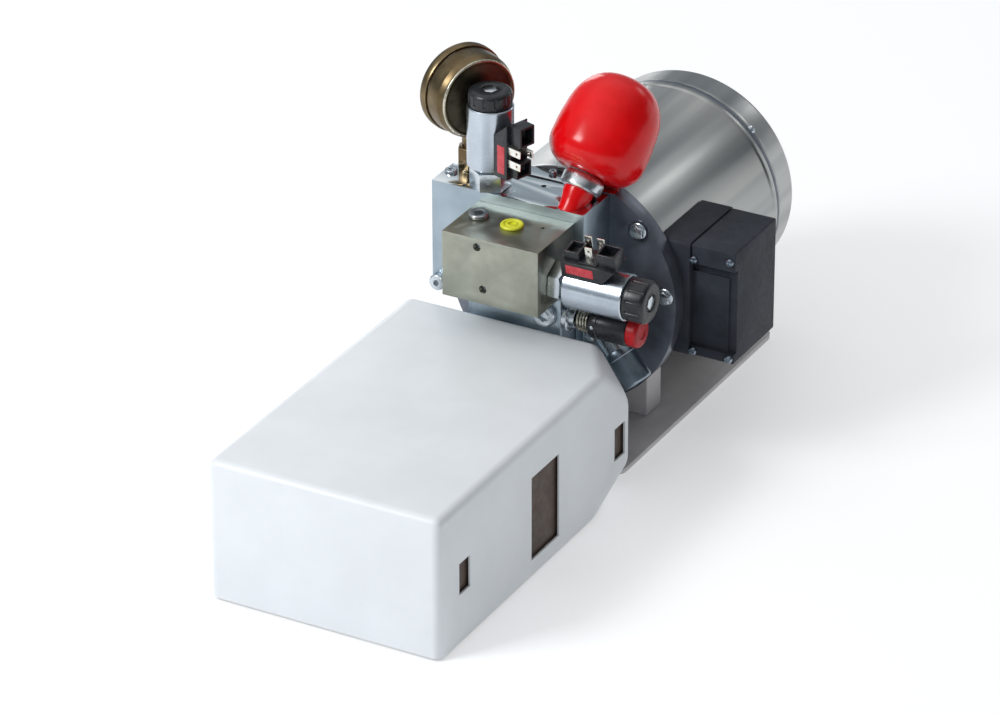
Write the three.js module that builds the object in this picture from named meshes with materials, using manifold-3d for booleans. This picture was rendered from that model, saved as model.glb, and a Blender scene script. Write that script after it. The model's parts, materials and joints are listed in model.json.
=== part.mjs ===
// Hydraulic power unit: a motor on a base plate drives a gear pump through a manifold that carries
// valves, a gauge and an accumulator, with the oil tank under a sheet cover in front of it.
// Millimetres, +Z up. X runs across the unit, Y runs along the motor axis away from the tank,
// and the origin is the middle of the base plate's underside.
import * as THREE from 'three';
import { mergeVertices } from 'three/addons/utils/BufferGeometryUtils.js';
import { ConvexGeometry } from 'three/addons/geometries/ConvexGeometry.js';
import Module from 'manifold-3d';

const wasm = await Module();
wasm.setup();

const gap = 0.3;

// How many flats stand for a round, by size.
const large = 40;
const medium = 24;
const small = 16;

const base = { width: 168, length: 268, thick: 4, holeRadius: 4.5, holeInset: 14 };
const saddle = { width: 120, thick: 24, frontY: -32, rearY: 92 };
const axisZ = 118.8;
const motor = {
  bellRadius: 98.6, bellFront: -73.4, bellThick: 14.1, bellFlatZ: 206.5,
  radius: 93, wall: 3.5, rear: 116, cowlRadius: 91, cowlRear: 154, cowlEndRadius: 89.5,
};
const shaft = { radius: 12, nose: 9.5, front: -100, rear: 146 };
const tank = { width: 194, front: -440, rear: -142, top: 117.2, wall: 2, padThick: 2, edge: 5 };
const inner = { inset: 3.2, wall: 3 };
const manifold = { left: -90.5, right: 41, front: -115.5, back: -73.7, top: 205.5, step: 113.7, bottom: 34 };
const pump = { left: -45, right: 35, front: -140.7, top: 143.2, bottom: 50, gearFront: -133.7 };
const gear = { teeth: 12, outer: 16.6, root: 11.6, distance: 28.8, shaftRadius: 6 };
const block = { left: -49, right: 33, front: -174, top: 197.5, bottom: 143.5 };
const valve = { coilRadius: 18.2, coilLength: 50, stemRadius: 7, hexAcrossFlats: 28 };
const upperValve = { x: -46.3, y: -102.7, coilStart: 18.5, capLength: 13, turn: -0.3 };
const sideValve = { y: -145, z: 162.8, coilStart: 13.5, capLength: 18, turn: 0.2 };
const gauge = { x: -75.5, y: -82.5, z: 269.2, radius: 36, depth: 30, turn: 60 };
const accumulator = { x: 24.4, y: -102.4, tilt: 41, turn: -11.8, start: 25, length: 81, radius: 38.6 };
const manual = { y: -129, z: 126, travel: 5 };
const outlet = { y: -101, z: 106.5, bendX: 49.3, length: 38, pipeRadius: 9, capRadius: 12.8 };
const box = { x: 88, front: -57, rear: 14, bottom: 76, top: 171, outer: 140.6, seam: 103 };

const group = new THREE.Group();

const material = (color, roughness, metalness) =>
  new THREE.MeshStandardMaterial({ color, roughness, metalness });
const looks = {
  whitePaint: () => material('#e6ecf0', 0.35, 0),
  brownTank: () => material('#5a4b44', 0.6, 0.1),
  darkRubber: () => material('#2a2a2c', 0.85, 0),
  greyPaint: () => material('#8c8888', 0.6, 0.1),
  aluminium: () => material('#a9b6c0', 0.3, 0.9),
  oliveMetal: () => material('#8d8f84', 0.45, 0.7),
  zinc: () => material('#b6bcc2', 0.3, 0.95),
  steel: () => material('#8f9294', 0.35, 0.95),
  motorShell: () => material('#8a8c8b', 0.3, 0.8),
  darkCast: () => material('#3c3f46', 0.5, 0.5),
  blackPlastic: () => material('#2b2d33', 0.5, 0),
  redPaint: () => material('#c81e23', 0.2, 0),
  redPlastic: () => material('#b8242a', 0.45, 0),
  yellowPlastic: () => material('#d9dc3a', 0.5, 0),
  bronze: () => material('#6b5a3e', 0.35, 0.8),
  dialWhite: () => material('#eeeeea', 0.5, 0),
  clearLens: () => material('#dfe6e8', 0.05, 0),
  copper: () => material('#9a6a3c', 0.5, 0.7),
};

// ---- small geometry helpers ----

const place = (geometry, x, y, z) => geometry.translate(x, y, z);

const asSolid = (geometry) => {
  const bare = geometry.clone();
  bare.deleteAttribute('normal');
  bare.deleteAttribute('uv');
  const merged = mergeVertices(bare, 1e-4);
  return new wasm.Manifold(new wasm.Mesh({
    numProp: 3,
    vertProperties: new Float32Array(merged.attributes.position.array),
    triVerts: new Uint32Array(merged.index.array),
  }));
};

const asGeometry = (solid) => {
  const mesh = solid.getMesh();
  const geometry = new THREE.BufferGeometry();
  geometry.setAttribute('position', new THREE.BufferAttribute(mesh.vertProperties, 3));
  geometry.setIndex(new THREE.BufferAttribute(mesh.triVerts, 1));
  geometry.computeVertexNormals();
  return geometry;
};

const joined = (first, ...others) =>
  asGeometry(others.reduce((solid, other) => solid.add(asSolid(other)), asSolid(first)));
const cut = (first, ...others) =>
  asGeometry(others.reduce((solid, other) => solid.subtract(asSolid(other)), asSolid(first)));

const slab = (x0, x1, y0, y1, z0, z1) =>
  place(new THREE.BoxGeometry(x1 - x0, y1 - y0, z1 - z0), (x0 + x1) / 2, (y0 + y1) / 2, (z0 + z1) / 2);

// A cylinder along +Z, +Y or +X that starts at the given point.
const rod = (radius, length, axis, x, y, z, sides = medium) => {
  const geometry = new THREE.CylinderGeometry(radius, radius, length, sides).translate(0, length / 2, 0);
  if (axis === 'z') geometry.rotateX(Math.PI / 2);
  if (axis === 'x') geometry.rotateZ(-Math.PI / 2);
  return place(geometry, x, y, z);
};

// A turned body along +Z from (radius, height) pairs. An outline that leaves and meets the axis is
// solid; any other outline is a ring that closes on its first pair.
const turned = (points, sides = medium) => {
  const outline = points.map(([r, h]) => new THREE.Vector2(r, h));
  if (THREE.ShapeUtils.area(outline) < 0) outline.reverse();
  const solid = outline[0].x === 0 && outline[outline.length - 1].x === 0;
  if (!solid) outline.push(outline[0].clone());
  return new THREE.LatheGeometry(outline, sides).rotateX(Math.PI / 2);
};
const turnedY = (points, sides) => turned(points, sides).rotateX(-Math.PI / 2);

// A flat outline drawn in X and Z, extruded along +Y from y0 to y1.
const extrudedY = (shape, y0, y1, curveSegments = 8) => {
  const settings = { depth: y1 - y0, bevelEnabled: false, curveSegments };
  return new THREE.ExtrudeGeometry(shape, settings).rotateX(Math.PI / 2).translate(0, y1, 0);
};

const roundedRect = (width, height, radius) => {
  const shape = new THREE.Shape();
  const [w, h] = [width / 2, height / 2];
  shape.moveTo(w - radius, -h);
  shape.absarc(w - radius, -h + radius, radius, -Math.PI / 2, 0);
  shape.absarc(w - radius, h - radius, radius, 0, Math.PI / 2);
  shape.absarc(-w + radius, h - radius, radius, Math.PI / 2, Math.PI);
  shape.absarc(-w + radius, -h + radius, radius, Math.PI, Math.PI * 1.5);
  shape.closePath();
  return shape;
};

const circleHole = (x, y, radius) => {
  const path = new THREE.Path();
  path.absarc(x, y, radius, 0, Math.PI * 2);
  return path;
};

const hexRod = (acrossFlats, length, axis, x, y, z) =>
  rod(acrossFlats / Math.sqrt(3), length, axis, x, y, z, 6);

const add = (name, geometry, look, parent = group) => {
  const mesh = new THREE.Mesh(geometry, looks[look]());
  mesh.name = name;
  parent.add(mesh);
  return mesh;
};

// ---- base plate and the saddles that carry the motor ----

const makeBase = () => {
  const plate = roundedRect(base.width, base.length, 10);
  for (const sx of [-1, 1]) {
    for (const sy of [-1, 1]) {
      const x = sx * (base.width / 2 - base.holeInset);
      const y = sy * (base.length / 2 - base.holeInset);
      plate.holes.push(circleHole(x, y, base.holeRadius));
    }
  }
  const settings = { depth: base.thick, bevelEnabled: false, curveSegments: 6 };
  add('base_plate', new THREE.ExtrudeGeometry(plate, settings), 'greyPaint');
};

const makeSaddle = (name, y) => {
  const radius = motor.radius + gap;
  const half = saddle.width / 2;
  const edgeAngle = Math.acos(half / radius);
  const outline = new THREE.Shape();
  const bottom = base.thick + gap;
  outline.moveTo(-half, bottom);
  outline.lineTo(half, bottom);
  outline.absarc(0, axisZ, radius, -edgeAngle, -Math.PI + edgeAngle, true);
  outline.closePath();
  const window = new THREE.Path();
  window.moveTo(-38, bottom + 6);
  window.lineTo(38, bottom + 6);
  window.lineTo(30, bottom + 11);
  window.lineTo(-30, bottom + 11);
  window.closePath();
  outline.holes.push(window);
  add(name, extrudedY(outline, y - saddle.thick / 2, y + saddle.thick / 2, 12), 'greyPaint');
};

// ---- oil tank and its sheet cover ----

// The tank is a block with its right rear corners cut off so that the outlet stays clear.
const tankCorners = (inset) => {
  const side = tank.width / 2 - inset;
  const rear = tank.rear - inset;
  const front = tank.front + inset;
  const top = tank.top - inset;
  const low = tank.padThick + gap;
  return [
    [-side, front, low], [side, front, low], [-side, front, top], [side, front, top],
    [-side, rear, low], [-side, rear, top],
    [side - 29, rear, top], [side, rear - 48, top], [side, rear, top - 43],
    [side - 27, rear, low], [side, rear - 50, low], [side, rear, low + 20],
  ];
};

// The convex body around small balls at the corners, cut flat underneath.
const softHull = (corners, radius) => {
  const centre = new THREE.Vector3(0, (tank.front + tank.rear) / 2, tank.top / 2);
  const points = [];
  const ball = new THREE.SphereGeometry(radius, 8, 4);
  const ballPoints = mergeVertices(ball.deleteAttribute('normal').deleteAttribute('uv')).attributes.position;
  for (const [x, y, z] of corners) {
    const corner = new THREE.Vector3(x, y, z);
    const towards = centre.clone().sub(corner);
    corner.x += Math.sign(towards.x) * radius;
    corner.y += Math.sign(towards.y) * radius;
    corner.z += z > tank.top / 2 ? -radius : 0;
    for (let i = 0; i < ballPoints.count; i += 1) {
      points.push(new THREE.Vector3().fromBufferAttribute(ballPoints, i).add(corner));
    }
  }
  const under = slab(-200, 200, tank.front - 50, tank.rear + 50, -60, corners[0][2]);
  return cut(new ConvexGeometry(points), under);
};

const windows = [
  { y: tank.front + 37, width: 16, low: 42, high: 68 },
  { y: tank.front + 160, width: 43, low: 15, high: 85 },
  { y: tank.front + 279, width: 17, low: 34, high: 62 },
];

const makeTank = () => {
  const shell = softHull(tankCorners(0), tank.edge);
  const hollow = softHull(tankCorners(tank.wall), tank.edge - tank.wall);
  hollow.translate(0, 0, -2 * gap);
  const openings = [];
  for (const { y, width, low, high } of windows) {
    openings.push(slab(-tank.width, tank.width, y - width / 2, y + width / 2, low, high));
  }
  const rearDoor = slab(-42, 42, tank.rear - 12, tank.rear + 12, 55, 110);
  add('tank_cover', cut(shell, hollow, ...openings, rearDoor), 'whitePaint');

  const body = softHull(tankCorners(inner.inset), tank.edge - tank.wall);
  const room = softHull(tankCorners(inner.inset + inner.wall), tank.edge - inner.wall);
  const floor = slab(-200, 200, tank.front - 50, tank.rear + 50, -60, tank.padThick + gap + inner.wall);
  const suction = rod(10.4, 30, 'y', 0, tank.rear - 20, 68);
  const back = rod(7.4, 30, 'y', -30, tank.rear - 20, 96);
  add('oil_tank', cut(body, cut(room, floor), suction, back), 'brownTank');

  add('tank_pad', slab(-93, 93, tank.front + 4, tank.rear - 56, 0, tank.padThick), 'darkRubber');

  const seal = roundedRect(80, 51, 8);
  seal.holes.push(circleHole(0, -14.5, 10.4), circleHole(-30, 13.5, 7.4));
  const sealY0 = tank.rear - inner.inset + gap;
  const sealGeometry = extrudedY(seal, sealY0, pump.front - gap, 8).translate(0, 0, 82.5);
  add('tank_gasket', sealGeometry, 'darkRubber');
};

// Oil leaves the tank through a strainer near its floor and returns through a short bent pipe.
const makeTankPipes = () => {
  const suctionPath = new THREE.CurvePath();
  const turn = 26;
  const [fromY, lowZ, highZ] = [pump.front - 1, 30, 68];
  suctionPath.add(new THREE.LineCurve3(
    new THREE.Vector3(0, fromY, highZ), new THREE.Vector3(0, fromY - 46 + turn, highZ)));
  suctionPath.add(new THREE.QuadraticBezierCurve3(
    new THREE.Vector3(0, fromY - 46 + turn, highZ),
    new THREE.Vector3(0, fromY - 46, highZ),
    new THREE.Vector3(0, fromY - 46, highZ - turn)));
  suctionPath.add(new THREE.LineCurve3(
    new THREE.Vector3(0, fromY - 46, highZ - turn), new THREE.Vector3(0, fromY - 46, lowZ)));
  add('suction_tube', sweep(suctionPath, 10, 18), 'steel');

  const strainer = turned([[0, 0], [21, 0], [21, 14], [16, 17], [16, 20], [0, 20]], small);
  add('suction_strainer', place(strainer, 0, fromY - 46, 9.7), 'zinc');

  const returnPath = new THREE.CatmullRomCurve3([
    new THREE.Vector3(-30, fromY, 96),
    new THREE.Vector3(-30, fromY - 20, 96),
    new THREE.Vector3(-31, fromY - 40, 88),
    new THREE.Vector3(-34, fromY - 50, 62),
    new THREE.Vector3(-34, fromY - 52, 32),
  ]);
  add('return_tube', sweep(returnPath, 7, 14), 'steel');
};

const circleShape = (radius, sides = 12) => {
  const points = [];
  for (let i = 0; i < sides; i += 1) {
    const angle = (i / sides) * Math.PI * 2;
    points.push(new THREE.Vector2(Math.cos(angle) * radius, Math.sin(angle) * radius));
  }
  return new THREE.Shape(points);
};

const sweep = (path, radius, steps, sides = 12) =>
  new THREE.ExtrudeGeometry(circleShape(radius, sides), { steps, extrudePath: path, bevelEnabled: false });

// ---- gear pump, manifold and valve block ----

const makeGear = () => {
  const shape = new THREE.Shape();
  const step = (Math.PI * 2) / gear.teeth;
  for (let i = 0; i < gear.teeth; i += 1) {
    const edges = [[-0.25, gear.root], [-0.1, gear.outer], [0.1, gear.outer], [0.25, gear.root]];
    for (const [part, radius] of edges) {
      const angle = (i + part) * step;
      const [x, z] = [Math.cos(angle) * radius, Math.sin(angle) * radius];
      if (i === 0 && part === -0.25) shape.moveTo(x, z);
      else shape.lineTo(x, z);
    }
  }
  shape.closePath();
  return shape;
};

const makePump = () => {
  const housing = slab(pump.left, pump.right, pump.front, manifold.front - gap, pump.bottom, pump.top);
  const lowZ = axisZ - gear.distance;
  const pocketLength = manifold.front - pump.gearFront;
  const upper = rod(gear.outer + gap, pocketLength, 'y', 0, pump.gearFront, axisZ, medium);
  const lower = rod(gear.outer + gap, pocketLength, 'y', 0, pump.gearFront, lowZ, medium);
  const bearing = (z) => rod(gear.shaftRadius + gap, 6, 'y', 0, pump.gearFront - 4.4, z, small);
  const valveSeat = rod(7.3, 14, 'x', pump.right - 13, manual.y, manual.z, small);
  const plugSeat = rod(6.3, 6, 'y', 22, pump.front - 1, 129, small);
  const inlet = rod(7, 7, 'y', 0, pump.front - 1, 68, small);
  const outletPort = rod(4, 10, 'y', -30, pump.front - 1, 96, small);
  add('pump_body', cut(housing, upper, lower, bearing(axisZ), bearing(lowZ), valveSeat, plugSeat, inlet,
    outletPort), 'aluminium');

  const teeth = extrudedY(makeGear(), pump.gearFront + gap, manifold.front - gap - 0.4, 4);
  const driveShaft = rod(gear.shaftRadius, 43, 'y', 0, pump.gearFront - 4, 0, small);
  add('pump_drive_gear', joined(teeth, driveShaft).translate(0, 0, axisZ), 'steel');
  const idlerShaft = rod(gear.shaftRadius, 21, 'y', 0, pump.gearFront - 4, 0, small);
  const halfTooth = Math.PI / gear.teeth;
  const idler = joined(teeth.clone().rotateY(halfTooth), idlerShaft).translate(0, 0, lowZ);
  add('pump_driven_gear', idler, 'steel');

  const plug = joined(
    rod(6, 5, 'y', 22, pump.front + 0.2 - 0.5, 129, small),
    rod(9.5, 4.5, 'y', 22, pump.front - 4.8, 129, small),
  );
  const socket = hexRod(8, 4, 'y', 22, pump.front - 5.4, 129);
  add('pump_plug', cut(plug, socket), 'zinc');
};

const makeManifold = () => {
  const outline = new THREE.Shape();
  outline.moveTo(manifold.left, manifold.step);
  outline.lineTo(pump.left, manifold.step);
  outline.lineTo(pump.left, manifold.bottom);
  outline.lineTo(manifold.right, manifold.bottom);
  outline.lineTo(manifold.right, manifold.top);
  outline.lineTo(manifold.left, manifold.top);
  outline.closePath();
  const body = extrudedY(outline, manifold.front, manifold.back);
  const couplingBore = rod(19, 40, 'y', 0, manifold.front + 10, axisZ, medium);
  const shaftBore = rod(gear.shaftRadius + 0.4, 20, 'y', 0, manifold.front - 1, axisZ, small);
  const screwBore = rod(4.3, 60, 'y', -84, manifold.front - 1, 121, small);
  const valvePort = rod(9.4, 24, 'z', upperValve.x, upperValve.y, manifold.top - 22, small);
  const gaugePort = rod(5.2, 16, 'z', gauge.x, gauge.y, manifold.top - 14, small);
  const neckPort = rod(6.2, 14, 'z', accumulator.x, accumulator.y, manifold.top - 12, small);
  const outletPort = rod(7.3, 14, 'x', manifold.right - 12, outlet.y, outlet.z, small);
  add('centre_manifold', cut(body, couplingBore, shaftBore, screwBore, valvePort, gaugePort, neckPort,
    outletPort), 'aluminium');

  const head = rod(6.5, 6.5, 'y', -84, manifold.front - 6.8, 121, small);
  const shank = rod(4, 47, 'y', -84, manifold.front - 1, 121, small);
  const key = hexRod(5, 3.5, 'y', -84, manifold.front - 7.2, 121);
  add('manifold_screw', cut(joined(head, shank), key), 'zinc');
};

const makeValveBlock = () => {
  const body = slab(block.left, block.right, block.front, manifold.front - gap, block.bottom, block.top);
  const throughHole = (x, z) => rod(3.3, 70, 'y', x, block.front - 1, z, small);
  const valvePort = rod(9.4, 24, 'x', block.right - 22, sideValve.y, sideValve.z, small);
  const yellowSeat = rod(6.3, 10, 'z', -6.2, -142, block.top - 9, small);
  const steelSeat = rod(6.3, 14, 'z', -36.3, -139.3, block.top - 12, small);
  const drilling = rod(1.6, 8, 'z', 16, -134, block.top - 6, small);
  add('valve_block', cut(body, throughHole(-19, 190.5), throughHole(-14, 156), valvePort, yellowSeat,
    steelSeat, drilling), 'oliveMetal');

  const yellowCap = joined(rod(6, 9, 'z', -6.2, -142, block.top - 7, small),
    rod(9, 2.2, 'z', -6.2, -142, block.top + gap, small));
  add('yellow_plug', yellowCap, 'yellowPlastic');
  const steelBody = joined(rod(6, 13, 'z', -36.3, -139.3, block.top - 10.5, small),
    rod(8, 3.2, 'z', -36.3, -139.3, block.top + gap, small));
  const key = hexRod(7, 5, 'z', -36.3, -139.3, block.top + 1);
  add('steel_plug', cut(steelBody, key), 'zinc');
};

// ---- solenoid valves: built along +Z with the connector towards +X, then turned into place ----

const makeValve = (prefix, { coilStart, capLength }, parent) => {
  const top = coilStart + valve.coilLength;
  const capTop = top + capLength;
  const nose = rod(9, 21, 'z', 0, 0, -20.5, small);
  const hex = hexRod(valve.hexAcrossFlats, coilStart - 3 - gap, 'z', 0, 0, gap);
  const shoulder = rod(12, 2.7, 'z', 0, 0, coilStart - 3, medium);
  const tube = rod(valve.stemRadius, capTop - 5 - 2, 'z', 0, 0, 2, small);
  const bore = rod(5, coilStart + 58, 'z', 0, 0, -22, small);
  add(`${prefix}_cartridge`, cut(joined(nose, hex, shoulder, tube), bore), 'zinc', parent);
  add(`${prefix}_armature`, rod(4.6, 24, 'z', 0, 0, coilStart + 6, small), 'steel', parent);

  const coil = turned([
    [valve.stemRadius + gap, coilStart], [valve.coilRadius - 1, coilStart],
    [valve.coilRadius, coilStart + 1], [valve.coilRadius, top - 1],
    [valve.coilRadius - 1, top], [valve.stemRadius + gap, top],
  ], medium);
  add(`${prefix}_coil`, coil, 'zinc', parent);

  const cap = turned([
    [0, capTop - 4.5], [valve.stemRadius + gap, capTop - 4.5], [valve.stemRadius + gap, top + gap],
    [16.8, top + gap], [17.2, top + 3], [16.4, capTop - 3], [14.4, capTop], [0, capTop],
  ], medium);
  add(`${prefix}_cap`, cap, 'blackPlastic', parent);

  const foot = slab(10, 29, -11.5, 11.5, coilStart - 1, coilStart + 40);
  const tower = slab(24, 34, -8, 11.5, coilStart + 3, coilStart + 37);
  const clearance = rod(valve.coilRadius + gap, 120, 'z', 0, 0, -10, medium);
  add(`${prefix}_connector`, cut(joined(foot, tower), clearance), 'blackPlastic', parent);
};

const makeValves = () => {
  const upright = new THREE.Group();
  upright.position.set(upperValve.x, upperValve.y, manifold.top);
  upright.rotation.z = upperValve.turn;
  group.add(upright);
  makeValve('upper_valve', upperValve, upright);

  // The second valve lies along +X with its connector upwards.
  const lying = new THREE.Group();
  lying.position.set(block.right, sideValve.y, sideValve.z);
  lying.rotation.x = sideValve.turn;
  const turn = new THREE.Group();
  turn.rotation.y = Math.PI / 2;
  const flip = new THREE.Group();
  flip.rotation.z = Math.PI;
  lying.add(turn);
  turn.add(flip);
  group.add(lying);
  makeValve('side_valve', sideValve, flip);
};

// ---- pressure gauge: built facing +Z, then stood up on its stem ----

const makeGauge = () => {
  const stemLength = gauge.z - gauge.radius - manifold.top - gap;
  const stem = joined(
    rod(4.8, 14, 'z', gauge.x, gauge.y, manifold.top - 12, small),
    hexRod(17, stemLength - 8, 'z', gauge.x, gauge.y, manifold.top + gap),
    rod(6, stemLength, 'z', gauge.x, gauge.y, manifold.top + gap, small),
  );
  add('gauge_stem', stem, 'bronze');

  const lift = new THREE.Group();
  lift.position.set(gauge.x, gauge.y, gauge.z);
  lift.rotation.z = THREE.MathUtils.degToRad(gauge.turn + 180);
  const tip = new THREE.Group();
  tip.rotation.x = Math.PI / 2;
  lift.add(tip);
  group.add(lift);

  const half = gauge.depth / 2;
  const r = gauge.radius;
  const inside = r - 2.4;
  const shell = turned([
    [0, -half], [r - 5, -half], [r - 1.5, -half + 3], [r - 1.5, half - 8.4], [inside - 1, half - 8.4],
    [inside - 1, -half + 5], [0, -half + 5],
  ], medium);
  add('gauge_case', shell, 'bronze', tip);
  const bezel = turned([
    [r - 5.4, half], [r - 0.6, half], [r, half - 1], [r, half - 8], [r - 2.6, half - 8], [r - 2.6, half - 2.4],
    [r - 5.4, half - 2.4],
  ], medium);
  add('gauge_bezel', bezel, 'bronze', tip);
  const lens = rod(inside - 1.2, 2, 'z', 0, 0, half - 5, medium);
  add('gauge_lens', lens, 'clearLens', tip);
  const dial = new THREE.Shape();
  dial.absarc(0, 0, inside - 1.4, 0, Math.PI * 2);
  dial.holes.push(circleHole(0, 0, 2.2));
  const dialPlate = new THREE.ExtrudeGeometry(dial, { depth: 1, bevelEnabled: false, curveSegments: 12 });
  add('gauge_dial', place(dialPlate, 0, 0, half - 13), 'dialWhite', tip);
  const needle = new THREE.Shape();
  const start = THREE.MathUtils.degToRad(225);
  const spot = (radius, turn) => new THREE.Vector2(
    Math.cos(start + turn) * radius, Math.sin(start + turn) * radius);
  needle.setFromPoints([spot(22, 0), spot(3, 0.5), spot(8, Math.PI - 0.3), spot(8, Math.PI + 0.3), spot(3, -0.5)]);
  const blade = new THREE.ExtrudeGeometry(needle, { depth: 0.8, bevelEnabled: false });
  const hub = rod(1.8, 7.6, 'z', 0, 0, half - 16.4, small);
  const boss = rod(3.4, 2, 'z', 0, 0, half - 10.8, small);
  add('gauge_pointer', joined(place(blade, 0, 0, half - 10), hub, boss), 'blackPlastic', tip);
};

// ---- accumulator, leaning back over the motor ----

const makeAccumulator = () => {
  const lean = new THREE.Matrix4().makeRotationZ(THREE.MathUtils.degToRad(accumulator.turn))
    .multiply(new THREE.Matrix4().makeRotationX(-THREE.MathUtils.degToRad(accumulator.tilt)));
  const settle = (geometry) =>
    place(geometry.applyMatrix4(lean), accumulator.x, accumulator.y, manifold.top + gap);
  const collar = settle(turned([[0, -24], [11, -24], [11, 12], [16.5, 13], [16.5, accumulator.start - 3],
    [14, accumulator.start - gap], [0, accumulator.start - gap]], medium));
  const under = slab(-60, 100, manifold.front - 60, manifold.back + 60, manifold.top - 60, manifold.top + gap);
  const stud = rod(5.8, 12, 'z', accumulator.x, accumulator.y, manifold.top - 10, small);
  add('accumulator_neck', joined(cut(collar, under), stud), 'zinc');

  const { start, length, radius } = accumulator;
  const profile = [[0, start], [15, start]];
  for (let i = 1; i <= 4; i += 1) {
    const angle = (i / 4) * Math.PI / 2;
    profile.push([15 + (radius - 15) * Math.sin(angle), start + 20 * (1 - Math.cos(angle))]);
  }
  profile.push([radius, start + 30], [radius - 2, start + 44]);
  for (let i = 1; i <= 6; i += 1) {
    const angle = (i / 6) * Math.PI / 2;
    const width = radius - 2;
    profile.push([i === 6 ? 0 : width * Math.cos(angle) ** 0.75, start + 44 + (length - 44) * Math.sin(angle)]);
  }
  add('accumulator_shell', settle(turned(profile, medium)), 'redPaint');
};

// ---- push-type manual valve on the pump's right side ----

const makeManualValve = () => {
  const at = (geometry) => geometry.rotateY(Math.PI / 2).translate(pump.right, manual.y, manual.z);
  const body = turned([[4.4, -12], [7, -12], [7, gap], [12, gap], [12, 4], [8.5, 5], [8.5, 9], [4.4, 9]], small);
  add('manual_valve_body', at(body), 'zinc');

  class Helix extends THREE.Curve {
    getPoint(t) {
      const angle = t * Math.PI * 2 * 4;
      return new THREE.Vector3(Math.cos(angle) * 8.6, Math.sin(angle) * 8.6, 10.6 + t * 10);
    }
  }
  const wire = new THREE.ExtrudeGeometry(circleShape(0.9, 6), {
    steps: 40, extrudePath: new Helix(), bevelEnabled: false });
  add('manual_valve_spring', at(wire), 'zinc');

  const knob = turned([[0, -8], [4, -8], [4, 30], [10.6, 30], [10.6, 23], [12.5, 23], [12.5, 54], [0, 54]], small);
  add('manual_valve_knob', at(knob), 'blackPlastic');
  const collar = turned([[0, 54 + gap], [12, 54 + gap], [12, 62], [10.5, 64], [0, 64]], small);
  add('manual_valve_collar', at(collar), 'redPlastic');
};

// ---- outlet elbow on the manifold's right side, closed by a screw cap ----

const makeOutlet = () => {
  const slope = new THREE.Vector3(0.676, -0.08, -0.733).normalize();
  const bend = new THREE.Vector3(outlet.bendX, outlet.y, outlet.z);
  const along = new THREE.Quaternion().setFromUnitVectors(new THREE.Vector3(0, 0, 1), slope);
  const aim = (geometry) => geometry.applyQuaternion(along).translate(bend.x, bend.y, bend.z);
  const threadStart = manifold.right - 10;
  const stud = rod(7, 12, 'x', threadStart, outlet.y, outlet.z, small);
  const flange = rod(10, outlet.bendX - manifold.right - gap, 'x', manifold.right + gap, outlet.y, outlet.z, small);
  const knee = new THREE.SphereGeometry(10, 16, 10).translate(bend.x, bend.y, bend.z);
  const pipe = aim(rod(outlet.pipeRadius, outlet.length, 'z', 0, 0, 0, small));
  const overlap = slab(0, manifold.right + gap, outlet.y - 40, outlet.y + 40, outlet.z - 40, outlet.z + 40);
  add('outlet_elbow', joined(cut(joined(flange, knee, pipe), overlap), stud), 'zinc');

  const { capRadius, length, pipeRadius } = outlet;
  const cap = turned([
    [0, length + 1], [pipeRadius + gap, length + 1], [pipeRadius + gap, length - 13], [capRadius, length - 13],
    [capRadius, length + 12], [capRadius - 1.2, length + 13.5], [0, length + 13.5],
  ], small);
  add('outlet_cap', aim(cap), 'blackPlastic');
};

// ---- motor ----

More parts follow.
